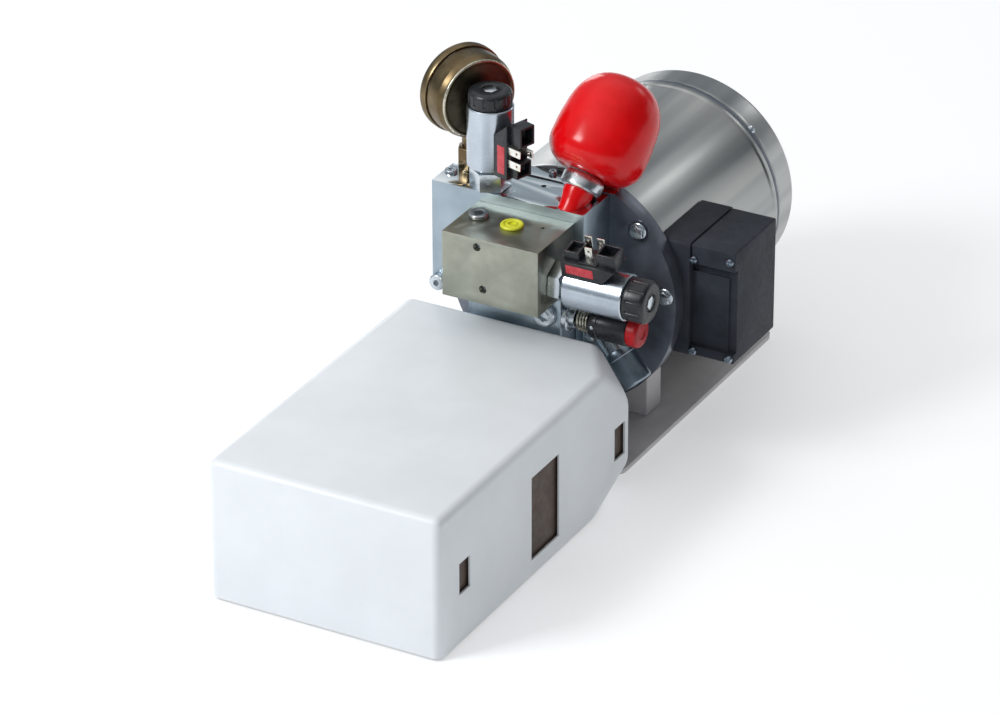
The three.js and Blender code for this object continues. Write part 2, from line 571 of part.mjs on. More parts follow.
const makeMotor = () => {
  const { bellRadius, bellFront, bellThick, radius, wall, rear } = motor;
  const onAxis = (geometry) => place(geometry, 0, 0, axisZ);
  const bellBack = bellFront + bellThick;
  const bell = turnedY([
    [shaft.radius + 1, bellFront], [bellRadius - 1.5, bellFront], [bellRadius, bellFront + 1.5],
    [bellRadius, bellBack - 1.5], [bellRadius - 1.5, bellBack], [radius - wall - gap, bellBack],
    [radius - wall - gap, bellBack + 6], [34, bellBack + 6], [34, bellBack + 10],
    [26.4, bellBack + 10], [26.4, bellFront + 8], [shaft.radius + 1, bellFront + 8],
  ], large);
  const flat = slab(-80, 80, bellFront - 5, bellBack + 0.5, motor.bellFlatZ, 260);
  const bolts = [43, 7];
  const boltPlaces = bolts.map((degrees) => {
    const angle = THREE.MathUtils.degToRad(degrees);
    return [Math.cos(angle) * 90.5, axisZ + Math.sin(angle) * 90.5];
  });
  const boltHoles = boltPlaces.map(([x, z]) => rod(3.3, 12, 'y', x, bellFront - 1, z, small));
  const screwHole = rod(4.3, 8, 'y', -84, bellFront - 1, 121, small);
  add('motor_front_bell', cut(onAxis(bell), flat, screwHole, ...boltHoles), 'darkCast');
  boltPlaces.forEach(([x, z], index) => {
    const head = hexRod(10, 5.5, 'y', x, bellFront - 5.8, z);
    const shank = rod(3, 12, 'y', x, bellFront - 2, z, small);
    add(`bell_bolt_${index + 1}`, joined(head, shank), 'zinc');
  });

  const housing = turnedY([
    [radius - wall, bellBack + gap], [radius, bellBack + gap], [radius, rear], [radius - wall, rear],
  ], large);
  add('motor_housing', onAxis(housing), 'motorShell');

  const stator = turnedY([
    [53, -26], [radius - wall - gap, -26], [radius - wall - gap, 78], [53, 78],
  ], large);
  add('stator_core', onAxis(stator), 'copper');

  const rotor = turnedY([[shaft.radius + gap, -24], [51.6, -24], [51.6, 76], [shaft.radius + gap, 76]], medium);
  add('rotor_core', onAxis(rotor), 'steel');

  const spindle = turnedY([
    [0, shaft.front], [shaft.nose, shaft.front], [shaft.nose, bellFront + 2], [shaft.radius, bellFront + 2],
    [shaft.radius, shaft.rear], [0, shaft.rear],
  ], small);
  const keyed = rod(gear.shaftRadius + gap, 8, 'y', 0, shaft.front - 1, 0, small);
  add('motor_shaft', onAxis(cut(spindle, keyed)), 'steel');

  const ring = (y) => turnedY([
    [shaft.radius + gap, y], [26, y], [26, y + 15], [shaft.radius + gap, y + 15],
  ], medium);
  add('front_bearing', onAxis(ring(bellFront + 8 + gap)), 'steel');
  add('rear_bearing', onAxis(ring(rear - 14)), 'steel');

  const rearBell = turnedY([
    [shaft.radius + 1, rear + 1.4], [26.4, rear + 1.4], [26.4, rear - 14], [32, rear - 14], [32, rear - 6],
    [radius - wall - gap, rear - 6], [radius - wall - gap, rear + gap], [radius - 0.5, rear + gap],
    [radius - 0.5, rear + 5], [shaft.radius + 1, rear + 5],
  ], large);
  add('motor_rear_bell', onAxis(rearBell), 'darkCast');

  const hub = turnedY([[shaft.radius + gap, rear + 8], [22, rear + 8], [22, rear + 24],
    [shaft.radius + gap, rear + 24]], small);
  const blades = [];
  for (let i = 0; i < 7; i += 1) {
    blades.push(slab(20, 74, rear + 9, rear + 22, -1.2, 1.2).rotateY((i / 7) * Math.PI * 2));
  }
  add('cooling_fan', onAxis(joined(hub, ...blades)), 'blackPlastic');

  const { cowlRadius, cowlEndRadius, cowlRear } = motor;
  const cowlFront = rear + 5.3;
  const skin = 1.6;
  const cowl = turnedY([
    [cowlRadius - skin, cowlFront], [cowlRadius, cowlFront], [cowlEndRadius, cowlRear - 8],
    [cowlEndRadius - 2.5, cowlRear - 2.5], [cowlEndRadius - 8, cowlRear], [30, cowlRear],
    [30, cowlRear - skin], [cowlEndRadius - 8.6, cowlRear - skin],
    [cowlEndRadius - 2.5 - skin, cowlRear - 2.5 - skin], [cowlEndRadius - skin, cowlRear - 8.6],
  ], large);
  const slots = [];
  for (let i = 0; i < 10; i += 1) {
    slots.push(slab(38, 76, cowlRear - 6, cowlRear + 6, -3, 3).rotateY((i / 10) * Math.PI * 2));
  }
  add('fan_cowl', onAxis(cut(cowl, ...slots)), 'motorShell');

  const sleeve = turnedY([
    [shaft.nose + gap, manifold.front + 13], [17, manifold.front + 13], [17, manifold.front + 39],
    [shaft.nose + gap, manifold.front + 39],
  ], small);
  add('coupling', onAxis(sleeve), 'steel');
};

// ---- terminal box on the motor's right side ----

const makeTerminalBox = () => {
  const middleY = (box.front + box.rear) / 2;
  const middleZ = (box.bottom + box.top) / 2;
  const slabX = (width, height, radius, x0, x1) => {
    const settings = { depth: x1 - x0, bevelEnabled: false, curveSegments: 4 };
    return new THREE.ExtrudeGeometry(roundedRect(width, height, radius), settings)
      .rotateX(Math.PI / 2).rotateZ(Math.PI / 2).translate(x0, middleY, middleZ);
  };
  const depth = box.rear - box.front;
  const height = box.top - box.bottom;
  const frame = slabX(depth + 4, height + 2, 4, box.x - 30, box.seam - gap);
  const shell = rod(motor.radius + gap, 300, 'y', 0, -150, axisZ, large);
  const wires = slabX(depth - 14, height - 30, 4, box.x - 31, box.seam + 1);
  add('terminal_base', cut(frame, shell, wires), 'blackPlastic');

  const lid = slabX(depth, height, 5, box.seam, box.outer);
  const room = slabX(depth - 6, height - 6, 3, box.seam - 1, box.outer - 3);
  const notch = slab(box.seam + 6, box.outer + 1, box.front - 1, box.front + 5, box.top - 15, box.top + 1);
  const glandX = (box.seam + box.outer) / 2;
  const glandHole = rod(8.3, 10, 'y', glandX, box.rear - 6, middleZ, small);
  add('terminal_lid', cut(lid, room, notch, glandHole), 'blackPlastic');

  const gland = turned([
    [5, -6], [8, -6], [8, gap], [12, gap], [12, 7], [10.5, 8], [10.5, 15], [8.5, 18], [5, 18],
  ], small).rotateX(-Math.PI / 2).translate(glandX, box.rear, middleZ);
  add('cable_gland', gland, 'blackPlastic');
};

makeBase();
makeSaddle('front_saddle', saddle.frontY);
makeSaddle('rear_saddle', saddle.rearY);
makeTank();
makeTankPipes();
makePump();
makeManifold();
makeValveBlock();
makeValves();
makeGauge();
makeAccumulator();
makeManualValve();
makeOutlet();
makeMotor();
makeTerminalBox();

export default group;
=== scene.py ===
import json
import math
import bpy
from mathutils import Matrix, Vector

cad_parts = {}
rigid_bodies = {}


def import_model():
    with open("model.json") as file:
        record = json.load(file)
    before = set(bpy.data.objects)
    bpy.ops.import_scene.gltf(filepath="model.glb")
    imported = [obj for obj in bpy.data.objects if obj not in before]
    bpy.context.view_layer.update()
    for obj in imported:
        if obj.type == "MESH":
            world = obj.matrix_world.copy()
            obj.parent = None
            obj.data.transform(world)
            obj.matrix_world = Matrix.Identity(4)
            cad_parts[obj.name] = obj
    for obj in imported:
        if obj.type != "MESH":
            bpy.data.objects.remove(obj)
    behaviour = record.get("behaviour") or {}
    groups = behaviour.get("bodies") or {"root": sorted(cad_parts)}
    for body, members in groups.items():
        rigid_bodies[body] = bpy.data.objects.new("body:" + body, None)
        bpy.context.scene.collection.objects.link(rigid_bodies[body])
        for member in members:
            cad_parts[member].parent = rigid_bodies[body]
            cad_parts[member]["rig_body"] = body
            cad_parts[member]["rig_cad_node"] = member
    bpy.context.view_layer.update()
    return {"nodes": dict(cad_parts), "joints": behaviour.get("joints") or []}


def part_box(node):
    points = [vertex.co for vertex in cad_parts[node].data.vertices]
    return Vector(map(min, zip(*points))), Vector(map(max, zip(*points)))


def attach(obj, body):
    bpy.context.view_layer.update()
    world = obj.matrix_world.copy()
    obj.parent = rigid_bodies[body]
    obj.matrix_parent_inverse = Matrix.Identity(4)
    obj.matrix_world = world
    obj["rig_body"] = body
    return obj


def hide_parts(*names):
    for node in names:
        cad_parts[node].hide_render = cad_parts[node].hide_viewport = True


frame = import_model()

mm = 0.001
weld = 0.002 * mm    # corners closer than this are one corner
joints = {joint["name"]: joint for joint in frame["joints"]}

# The camera stands to the right of the tank and looks down along the unit
camera = {
    "aimAt": (0.0, -0.14, 0.08),
    "azimuth": 28.5,
    "elevation": 28.0,
    "distance": 4.0,
    "lens": 188.0,
    "shift": (-0.0205, 0.0075),
}


def deselectAll():
    if bpy.context.object and bpy.context.object.mode == "EDIT":
        bpy.ops.object.mode_set(mode="OBJECT")
    bpy.ops.object.select_all(action="DESELECT")


def makeActive(piece):
    deselectAll()
    piece.select_set(True)
    bpy.context.view_layer.objects.active = piece


def settle(piece, matrix=None):
    # moves a piece to its place and leaves that place in its mesh
    makeActive(piece)
    if matrix is not None:
        piece.matrix_world = matrix
    bpy.ops.object.transform_apply(location=True, rotation=True, scale=True)
    return piece


def boxOf(node):
    # a node's lowest and highest corner in millimetres
    low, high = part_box(node)
    return low / mm, high / mm


def centreOf(node):
    low, high = boxOf(node)
    return (low + high) / 2


def startBox(name, low, high):
    deselectAll()
    low, high = Vector(low) * mm, Vector(high) * mm
    bpy.ops.mesh.primitive_cube_add(size=1, location=(low + high) / 2, scale=high - low)
    piece = bpy.context.object
    piece.name = name
    return settle(piece)


def startPrism(name, radius, low, high, sides=48, turn=0.0):
    # a straight prism along Z, round when it has many sides
    deselectAll()
    bpy.ops.mesh.primitive_cylinder_add(
        vertices=sides, radius=radius * mm, depth=(high - low) * mm,
        location=(0, 0, (low + high) / 2 * mm), rotation=(0, 0, turn))
    piece = bpy.context.object
    piece.name = name
    return settle(piece)


def turnPiece(name, profile, steps=72):
    # a profile of (radius, height) drawn point by point and spun round Z
    deselectAll()
    bpy.ops.mesh.primitive_plane_add(size=mm)
    piece = bpy.context.object
    piece.name = name
    bpy.ops.object.mode_set(mode="EDIT")
    bpy.ops.mesh.select_mode(type="VERT")
    bpy.ops.mesh.select_all(action="SELECT")
    bpy.ops.mesh.merge(type="CENTER")
    place = Vector((0, 0, 0))
    for index, (radius, height) in enumerate(profile):
        target = Vector((radius, 0, height)) * mm
        if index == 0:
            bpy.ops.transform.translate(value=target - place)
        else:
            bpy.ops.mesh.extrude_vertices_move(TRANSFORM_OT_translate={"value": target - place})
        place = target
    bpy.ops.mesh.select_all(action="SELECT")
    bpy.ops.mesh.spin(steps=steps, angle=2 * math.pi, center=(0, 0, 0), axis=(0, 0, 1))
    bpy.ops.mesh.select_all(action="SELECT")
    bpy.ops.mesh.remove_doubles(threshold=weld)
    bpy.ops.mesh.normals_make_consistent(inside=False)
    bpy.ops.object.mode_set(mode="OBJECT")
    return piece


def arcPoints(centre, radius, fromDegrees, toDegrees, count=6):
    points = []
    for index in range(count + 1):
        angle = math.radians(fromDegrees + (toDegrees - fromDegrees) * index / count)
        points.append((centre[0] + radius * math.cos(angle), centre[1] + radius * math.sin(angle)))
    return points


def openMesh(piece):
    # opens the mesh for editing with all of it selected
    makeActive(piece)
    bpy.ops.object.mode_set(mode="EDIT")
    bpy.ops.mesh.select_all(action="SELECT")


def closeMesh():
    bpy.ops.object.mode_set(mode="OBJECT")


def openWhere(piece, kind, test):
    # opens the mesh with only the faces or corners that pass the test selected
    openMesh(piece)
    bpy.ops.mesh.select_mode(type=kind)
    bpy.ops.mesh.select_all(action="DESELECT")
    closeMesh()
    for element in piece.data.polygons if kind == "FACE" else piece.data.vertices:
        element.select = test(element)
    bpy.ops.object.mode_set(mode="EDIT")


def copyCad(node, name=None):
    # a merged copy of a node's mesh, with its flat faces made whole again
    source = frame["nodes"][node]
    piece = source.copy()
    piece.data = source.data.copy()
    piece.data.materials.clear()
    piece.parent = None
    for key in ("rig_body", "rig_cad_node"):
        del piece[key]
    piece.name = name or node + "_shape"
    bpy.context.scene.collection.objects.link(piece)
    openMesh(piece)
    bpy.ops.mesh.remove_doubles(threshold=weld)
    bpy.ops.mesh.dissolve_limited(angle_limit=math.radians(1))
    bpy.ops.mesh.customdata_custom_splitnormals_clear()
    closeMesh()
    return piece


def copyPiece(piece, name, matrix):
    # another one of the same piece, with its own mesh, moved by the matrix
    twin = piece.copy()
    twin.data = piece.data.copy()
    twin.name = name
    bpy.context.scene.collection.objects.link(twin)
    return settle(twin, matrix)


def applyModifier(piece, kind, **settings):
    makeActive(piece)
    modifier = piece.modifiers.new(kind.lower(), kind)
    for key, value in settings.items():
        setattr(modifier, key, value)
    bpy.ops.object.modifier_apply(modifier=modifier.name)
    return piece


def soften(piece, width, segments=2, angle=35):
    return applyModifier(
        piece, "BEVEL", width=width * mm, segments=segments, limit_method="ANGLE",
        angle_limit=math.radians(angle), use_clamp_overlap=True)


def cutWith(piece, *cutters):
    for cutter in cutters:
        applyModifier(piece, "BOOLEAN", object=cutter, operation="DIFFERENCE", solver="EXACT")
        bpy.data.objects.remove(cutter)
    return piece


def cutBox(piece, low, high):
    return cutWith(piece, startBox("cut", low, high))


def spoke(index, count):
    # the turn round Z of one of several even steps
    return Matrix.Rotation(2 * math.pi * index / count, 4, "Z")


def moved(x, y, z):
    return Matrix.Translation(Vector((x, y, z)) * mm)


def aimed(x, y, z, axis="Z"):
    # a place in millimetres, with the piece's own Z turned to the named axis or direction
    if not isinstance(axis, str):
        turn = Vector(axis).to_track_quat("Z", "Y").to_matrix().to_4x4()
    else:
        turn = {
            "Z": Matrix.Identity(4),
            "X": Matrix.Rotation(math.pi / 2, 4, "Y"),
            "Y": Matrix.Rotation(-math.pi / 2, 4, "X"),
            "-Y": Matrix.Rotation(math.pi / 2, 4, "X"),
        }[axis]
    return moved(x, y, z) @ turn


def joinPieces(name, first, *others):
    deselectAll()
    for piece in (first, *others):
        piece.select_set(True)
    bpy.context.view_layer.objects.active = first
    bpy.ops.object.join()
    first.name = name
    return first


def finishPiece(piece, material, slot=None, *nodes, body="unit", smoothAngle=38):
    makeActive(piece)
    bpy.ops.object.shade_smooth_by_angle(angle=math.radians(smoothAngle))
    piece.data.materials.clear()
    piece.data.materials.append(material)
    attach(piece, body)
    if nodes:
        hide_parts(*nodes)
    return piece


def placeCamera(c):
    a, e = math.radians(c["azimuth"]), math.radians(c["elevation"])
    back = Vector((math.sin(a) * math.cos(e), -math.cos(a) * math.cos(e), math.sin(e)))
    bpy.ops.object.camera_add(location=Vector(c["aimAt"]) + back * c["distance"])
    cam = bpy.context.object
    cam.rotation_mode = "QUATERNION"
    cam.rotation_quaternion = (-back).to_track_quat("-Z", "Y")
    cam.data.lens = c["lens"]
    cam.data.sensor_width = 36
    cam.data.shift_x, cam.data.shift_y = c["shift"]
    cam.data.clip_end = 50
    bpy.context.scene.camera = cam


placeCamera(camera)


# Materials

def toLinear(hexColour):
    # an sRGB hex colour as linear RGBA
    channels = [int(hexColour[i:i + 2], 16) / 255 for i in (1, 3, 5)]
    return [c / 12.92 if c <= 0.04045 else ((c + 0.055) / 1.055) ** 2.4 for c in channels] + [1.0]


def addNode(material, kind, inputs=None, **settings):
    node = material.node_tree.nodes.new("ShaderNode" + kind)
    for key, value in settings.items():
        setattr(node, key, value)
    for key, value in (inputs or {}).items():
        if isinstance(value, bpy.types.NodeSocket):
            material.node_tree.links.new(value, node.inputs[key])
        else:
            node.inputs[key].default_value = value
    return node


def startMaterial(name, colour, metallic, roughness, **sockets):
    material = bpy.data.materials.new(name)
    material.use_nodes = True
    shader = material.node_tree.nodes["Principled BSDF"]
    shader.inputs["Base Color"].default_value = toLinear(colour)
    shader.inputs["Metallic"].default_value = metallic
    shader.inputs["Roughness"].default_value = roughness
    for key, value in sockets.items():
        shader.inputs[key.replace("_", " ")].default_value = value
    material.diffuse_color = toLinear(colour)
    return material


def shaderOf(material):
    return material.node_tree.nodes["Principled BSDF"]


def noiseOver(material, size, stretch=(1, 1, 1), detail=3.0):
    # noise whose blobs are about this many millimetres, drawn out along the stretched axes
    coords = addNode(material, "TexCoord")
    scale = [1 / (size * mm * k) for k in stretch]
    spread = addNode(material, "Mapping", {"Vector": coords.outputs["Object"], "Scale": scale})
    return addNode(material, "TexNoise", {
        "Vector": spread.outputs["Vector"], "Scale": 1.0, "Detail": detail, "Roughness": 0.6})


def tint(material, first, second, size, stretch=(1, 1, 1), detail=3.0, spread=(0.35, 0.65)):
    # the colour wanders between two tones
    noise = noiseOver(material, size, stretch, detail)
    ramp = addNode(material, "ValToRGB", {"Fac": noise.outputs["Fac"]})
    for element, place, colour in zip(ramp.color_ramp.elements, spread, (first, second)):
        element.position = place
        element.color = toLinear(colour)
    material.node_tree.links.new(ramp.outputs["Color"], shaderOf(material).inputs["Base Color"])


def gloss(material, low, high, size, stretch=(1, 1, 1), detail=3.0):
    # the roughness wanders between two values
    noise = noiseOver(material, size, stretch, detail)
    band = addNode(material, "MapRange", {
        "Value": noise.outputs["Fac"], "From Min": 0.3, "From Max": 0.7, "To Min": low, "To Max": high})
    material.node_tree.links.new(band.outputs["Result"], shaderOf(material).inputs["Roughness"])


def relief(material, height, size, stretch=(1, 1, 1), detail=2.0):
    # a bump this many millimetres high, on top of any earlier one
    noise = noiseOver(material, size, stretch, detail)
    socket = shaderOf(material).inputs["Normal"]
    inputs = {"Height": noise.outputs["Fac"], "Distance": height * mm, "Strength": 1.0}
    if socket.links:
        inputs["Normal"] = socket.links[0].from_socket
    bump = addNode(material, "Bump", inputs)
    material.node_tree.links.new(bump.outputs["Normal"], socket)


def wornEdges(material, colour, width, amount=0.7):
    # a paler tone where the corners have rubbed
    rounded = addNode(material, "Bevel", {"Radius": width * mm}, samples=4)
    flat = addNode(material, "NewGeometry")
    likeness = addNode(material, "VectorMath", {0: rounded.outputs["Normal"], 1: flat.outputs["Normal"]},
                       operation="DOT_PRODUCT")
    noise = noiseOver(material, 4.0)
    limit = addNode(material, "MapRange", {
        "Value": likeness.outputs["Value"], "From Min": 0.97, "From Max": 0.86, "To Min": 0.0, "To Max": amount})
    patchy = addNode(material, "Math", {0: limit.outputs["Result"], 1: noise.outputs["Fac"]},
                     operation="MULTIPLY", use_clamp=True)
    socket = shaderOf(material).inputs["Base Color"]
    mix = addNode(material, "Mix", {"Factor": patchy.outputs["Value"]}, data_type="RGBA")
    if socket.links:
        material.node_tree.links.new(socket.links[0].from_socket, mix.inputs[6])
    else:
        mix.inputs[6].default_value = socket.default_value
    mix.inputs[7].default_value = toLinear(colour)
    material.node_tree.links.new(mix.outputs[2], socket)


def finish(material, *coats):
    # lays each coat, such as (gloss, low, high, size), over the material in turn
    for coat, *values in coats:
        coat(material, *values)
    return material


def milledAluminium():
    # face-milled aluminium: bright and bluish, with fine cutter lines, and almost a mirror on top; upward faces
    # are also given a paler colour, a painted reflection of the sky
    m = startMaterial("milled_aluminium", "#a5b3bd", 1.0, 0.2)
    tint(m, "#9caab4", "#aebbc5", 40)
    lines = noiseOver(m, 0.6, (40.0, 1.0, 1.0), 1.0)  # cutter lines 0.6 mm apart, coarser than real
    flat = addNode(m, "NewGeometry")
    split = addNode(m, "SeparateXYZ", {"Vector": flat.outputs["Normal"]})
    base = addNode(m, "MapRange", {
        "Value": split.outputs["Z"], "From Min": 0.2, "From Max": 0.9, "To Min": 0.33, "To Max": 0.07})
    # upward faces blend to a pale tone: a painted reflection, the top's bright look put into its colour
    bright = addNode(m, "MapRange", {"Value": split.outputs["Z"], "From Min": 0.2, "From Max": 0.9})
    paint = shaderOf(m).inputs["Base Color"]
    paintedTopReflection = addNode(m, "Mix", {"Factor": bright.outputs["Result"], 6: paint.links[0].from_socket,
                                 7: toLinear("#e3eaef")}, data_type="RGBA")
    m.node_tree.links.new(paintedTopReflection.outputs[2], paint)
    uneven = addNode(m, "Math", {0: lines.outputs["Fac"], 1: 0.12, 2: base.outputs["Result"]},
                     operation="MULTIPLY_ADD")
    m.node_tree.links.new(uneven.outputs["Value"], shaderOf(m).inputs["Roughness"])
    bump = addNode(m, "Bump", {"Height": lines.outputs["Fac"], "Distance": 0.004 * mm, "Strength": 0.6})
    m.node_tree.links.new(bump.outputs["Normal"], shaderOf(m).inputs["Normal"])
    return m


# powder-coated steel sheet: near white, satin, with a faint orange peel
enamel = finish(
    startMaterial("powder_coated_sheet", "#e4e8ec", 0.0, 0.4),
    (tint, "#e1e5e9", "#e6eaee", 60), (gloss, 0.36, 0.46, 14), (relief, 0.02, 1.8))

# brown primer on steel: matt and a little patchy
primer = finish(
    startMaterial("brown_primer", "#51423b", 0.0, 0.6),
    (tint, "#483931", "#594940", 22), (gloss, 0.5, 0.7, 6), (relief, 0.03, 1.2))

# nitrile sheet: dull black with a fine moulded grain
rubber = finish(
    startMaterial("nitrile_rubber", "#26272a", 0.0, 0.85),
    (tint, "#222326", "#2f3033", 9), (gloss, 0.75, 0.92, 3), (relief, 0.05, 0.8))

# grey stoved enamel on hot-rolled plate: slightly wavy, rubbed at the corners
grey = finish(
    startMaterial("grey_stoved_enamel", "#cfcbcb", 0.0, 0.48),
    (tint, "#c9c5c6", "#d5d1d2", 35), (gloss, 0.4, 0.58, 9), (relief, 0.04, 5.0),
    (wornEdges, "#e2e0df", 0.8))

aluminium = milledAluminium()

# olive passivated steel: warm grey-green, satin, with clouds from the bath
olive = finish(
    startMaterial("olive_passivated_steel", "#a5a799", 1.0, 0.34),
    (tint, "#999a8d", "#aaac9f", 26), (gloss, 0.3, 0.4, 7), (relief, 0.003, 0.7, (12.0, 1.0, 1.0)),
    (wornEdges, "#d8d8d0", 0.7, 0.9))

# bright zinc plating: blue-silver with a faint spangle
zinc = finish(
    startMaterial("bright_zinc_plate", "#cfd6db", 1.0, 0.25),
    (tint, "#c6ced4", "#d3d9de", 6), (gloss, 0.22, 0.3, 5))

# nickel-plated coil can: turned, so fine rings run round it and the highlight stays narrow
nickel = finish(
    startMaterial("nickel_plated_can", "#bec7d1", 1.0, 0.24),
    (tint, "#b9c2cc", "#c3ccd6", 14), (gloss, 0.23, 0.28, 9))

# ground and oiled steel: grey with fine rings
steel = finish(
    startMaterial("ground_steel", "#a7abae", 1.0, 0.34),
    (tint, "#979b9e", "#b4b8bb", 6), (gloss, 0.25, 0.45, 2), (relief, 0.006, 0.4))

# drawn steel tube under clear lacquer: grey, with long faint die streaks along the motor
shellSteel = finish(
    startMaterial("lacquered_drawn_steel", "#a6a8a7", 1.0, 0.3),
    (tint, "#9c9e9e", "#b0b2b0", 14, (1.0, 60.0, 1.0), 1.0),
    (gloss, 0.27, 0.33, 9.0, (1.0, 60.0, 1.0), 1.0))

# die-cast aluminium under dark grey paint: fine grain left by the mould
cast = finish(
    startMaterial("painted_die_casting", "#686d77", 0.7, 0.3),
    (tint, "#5d626b", "#727883", 30), (gloss, 0.3, 0.38, 8, (1, 1, 1), 1.0),
    (wornEdges, "#8e939a", 0.7))

# glass-filled nylon: black, faintly mottled, satin
nylon = finish(
    startMaterial("glass_filled_nylon", "#1c1e22", 0.0, 0.32),
    (tint, "#17191d", "#232529", 8), (gloss, 0.24, 0.4, 3), (relief, 0.015, 0.6))

# moulded black ABS: even spark-eroded texture, corners rubbed a shade paler
moulded = finish(
    startMaterial("textured_abs", "#33373f", 0.0, 0.5, Specular_IOR_Level=0.15, IOR=1.4),
    (tint, "#2f333a", "#383c44", 18), (gloss, 0.44, 0.56, 4), (relief, 0.02, 0.9),
    (wornEdges, "#4c4f56", 0.6))

# gloss enamel on a pressed steel shell: deep red with a clear, slightly rippled surface
redGloss = finish(
    startMaterial("red_gloss_enamel", "#e0090f", 0.0, 0.16, Specular_IOR_Level=0.32),
    (tint, "#d8070d", "#e60c13", 24), (gloss, 0.17, 0.23, 12), (relief, 0.006, 3.5))

# moulded red nylon: satin with a fine grain
redMould = finish(
    startMaterial("red_nylon", "#b31a20", 0.0, 0.38, Specular_IOR_Level=0.35),
    (tint, "#9d1218", "#b5191f", 7), (gloss, 0.3, 0.46, 3), (relief, 0.015, 0.6))

# red vinyl label: flat, slightly glossy and a little faded
labelRed = finish(
    startMaterial("red_vinyl_label", "#c0323c", 0.0, 0.3),
    (tint, "#b92c36", "#cc4650", 5), (gloss, 0.22, 0.38, 3), (relief, 0.004, 0.8))

# moulded polyethylene: waxy yellow
yellow = finish(
    startMaterial("yellow_polyethylene", "#dde02f", 0.0, 0.42),
    (tint, "#d3d628", "#e6e83c", 6), (gloss, 0.34, 0.5, 2), (relief, 0.02, 0.9))

# steel case with a bronze lacquer: brown, with streaks of paler bronze
bronze = finish(
    startMaterial("bronze_lacquered_case", "#716149", 1.0, 0.22),
    (tint, "#63543c", "#7f6f55", 22), (gloss, 0.28, 0.4, 9), (wornEdges, "#d3c6a6", 1.0, 0.9))

# white enamelled dial plate, very slightly aged
dialWhite = finish(
    startMaterial("dial_enamel", "#f1f0ea", 0.0, 0.4),
    (tint, "#edece4", "#f5f4ef", 14), (gloss, 0.35, 0.48, 4), (relief, 0.004, 1.0))

# screen-printed ink: dense black with a soft sheen
ink = finish(
    startMaterial("printing_ink", "#1b1c1e", 0.0, 0.5),
    (tint, "#17181a", "#222326", 2), (gloss, 0.42, 0.58, 1))

# the same lacquer on the pressed back plate, dulled, with its colour made much darker as painted shade
shadedBronze = finish(
    startMaterial("shaded_dulled_bronze_plate", "#4a4335", 0.9, 0.4),
    (tint, "#3f392d", "#554d3e", 15), (gloss, 0.32, 0.48, 6), (relief, 0.01, 1.5))

# pale blue-grey metal: the outlet cap is nearly black, and this colour is a painted sheen on it; the lid screws
# wear it as blued steel
bluedSteelAndSheen = finish(
    startMaterial("blued_steel_and_painted_sheen", "#8b98a4", 1.0, 0.3),
    (tint, "#82909c", "#939fab", 14), (gloss, 0.26, 0.34, 12))

# acrylic window: clear, with the odd wipe mark
acrylic = finish(
    startMaterial("clear_acrylic", "#ffffff", 0.0, 0.03, Transmission_Weight=1.0, IOR=1.49),
    (gloss, 0.01, 0.07, 10), (relief, 0.002, 8))

# varnished copper windings round the core: amber brown, with strands along the motor
copper = finish(
    startMaterial("varnished_windings", "#8a5a30", 0.6, 0.4),
    (tint, "#6d4524", "#a0703f", 1.6, (1.0, 20.0, 1.0)), (gloss, 0.3, 0.5, 2),
    (relief, 0.2, 1.6, (1.0, 20.0, 1.0)))

# music wire with a pale zinc film: warm silver
spring = finish(
    startMaterial("spring_wire", "#c9c5b4", 1.0, 0.3),
    (tint, "#b5b09c", "#d8d4c6", 3), (gloss, 0.22, 0.4, 1.5))

# tinned brass blades: pale silver with a hint of yellow
blade = finish(
    startMaterial("tinned_brass", "#ecebe4", 1.0, 0.28),
    (tint, "#e0ddcf", "#f6f6f2", 3), (gloss, 0.2, 0.38, 1.5))
print("materials made")

# Tank and base

cover = {
    "edge": 7.0, "wall": 1.6,
    "topCut": (29, 48, 43),      # how far the top rear corner is cut back along X, Y and Z
    "lowCut": (27, 50, 20),
    "windows": ((37, 16, 42, 68), (160, 43, 15, 85), (279, 17, 34, 62)),  # along, width, low, high
    "doorHalf": 42, "doorLow": 55, "doorHigh": 110,
}


def sliceCorner(piece, first, second, third, outside):
    # cuts off the corner beyond the plane through three points
    a, b, c = (Vector(p) * mm for p in (first, second, third))
    normal = (b - a).cross(c - a).normalized()
    if normal.dot(Vector(outside) * mm - a) < 0:
        normal = -normal
    openMesh(piece)
    bpy.ops.mesh.bisect(plane_co=a, plane_no=normal, use_fill=True, clear_outer=True)
    closeMesh()


def makeCover():
    low, high = boxOf("tank_cover")
    piece = startBox("white_cover", low, high)
    x, y, z = cover["topCut"]
    sliceCorner(piece, (high.x - x, high.y, high.z), (high.x, high.y - y, high.z),
        (high.x, high.y, high.z - z), high)
    x, y, z = cover["lowCut"]
    corner = (high.x, high.y, low.z)
    sliceCorner(piece, (high.x - x, high.y, low.z), (high.x, high.y - y, low.z),
        (high.x, high.y, low.z + z), corner)
    openWhere(piece, "FACE", lambda face: face.normal.z < -0.99)
    bpy.ops.mesh.delete(type="FACE")  # the cover is open underneath
    closeMesh()
    soften(piece, cover["edge"], 6, 20)
    applyModifier(piece, "SOLIDIFY", thickness=cover["wall"] * mm, offset=-1, use_even_offset=True)
    for along, width, bottom, top in cover["windows"]:
        middle = low.y + along
        cutBox(piece, (low.x - 9, middle - width / 2, bottom), (high.x + 9, middle + width / 2, top))
    half = cover["doorHalf"]
    cutBox(piece, (-half, high.y - 12, cover["doorLow"]), (half, high.y + 12, cover["doorHigh"]))
    soften(piece, 0.5, 2, 40)
    finishPiece(piece, enamel, "white_cover", "tank_cover")


def dressNode(node, material):
    shape = frame["nodes"][node]
    shape.data.materials.clear()
    shape.data.materials.append(material)


def refineNode(node, material, slot, width=0.6, segments=2, angle=35):
    # the same shape as the node with its sharp edges eased
    piece = copyCad(node)
    soften(piece, width, segments, angle)
    return finishPiece(piece, material, slot, node)


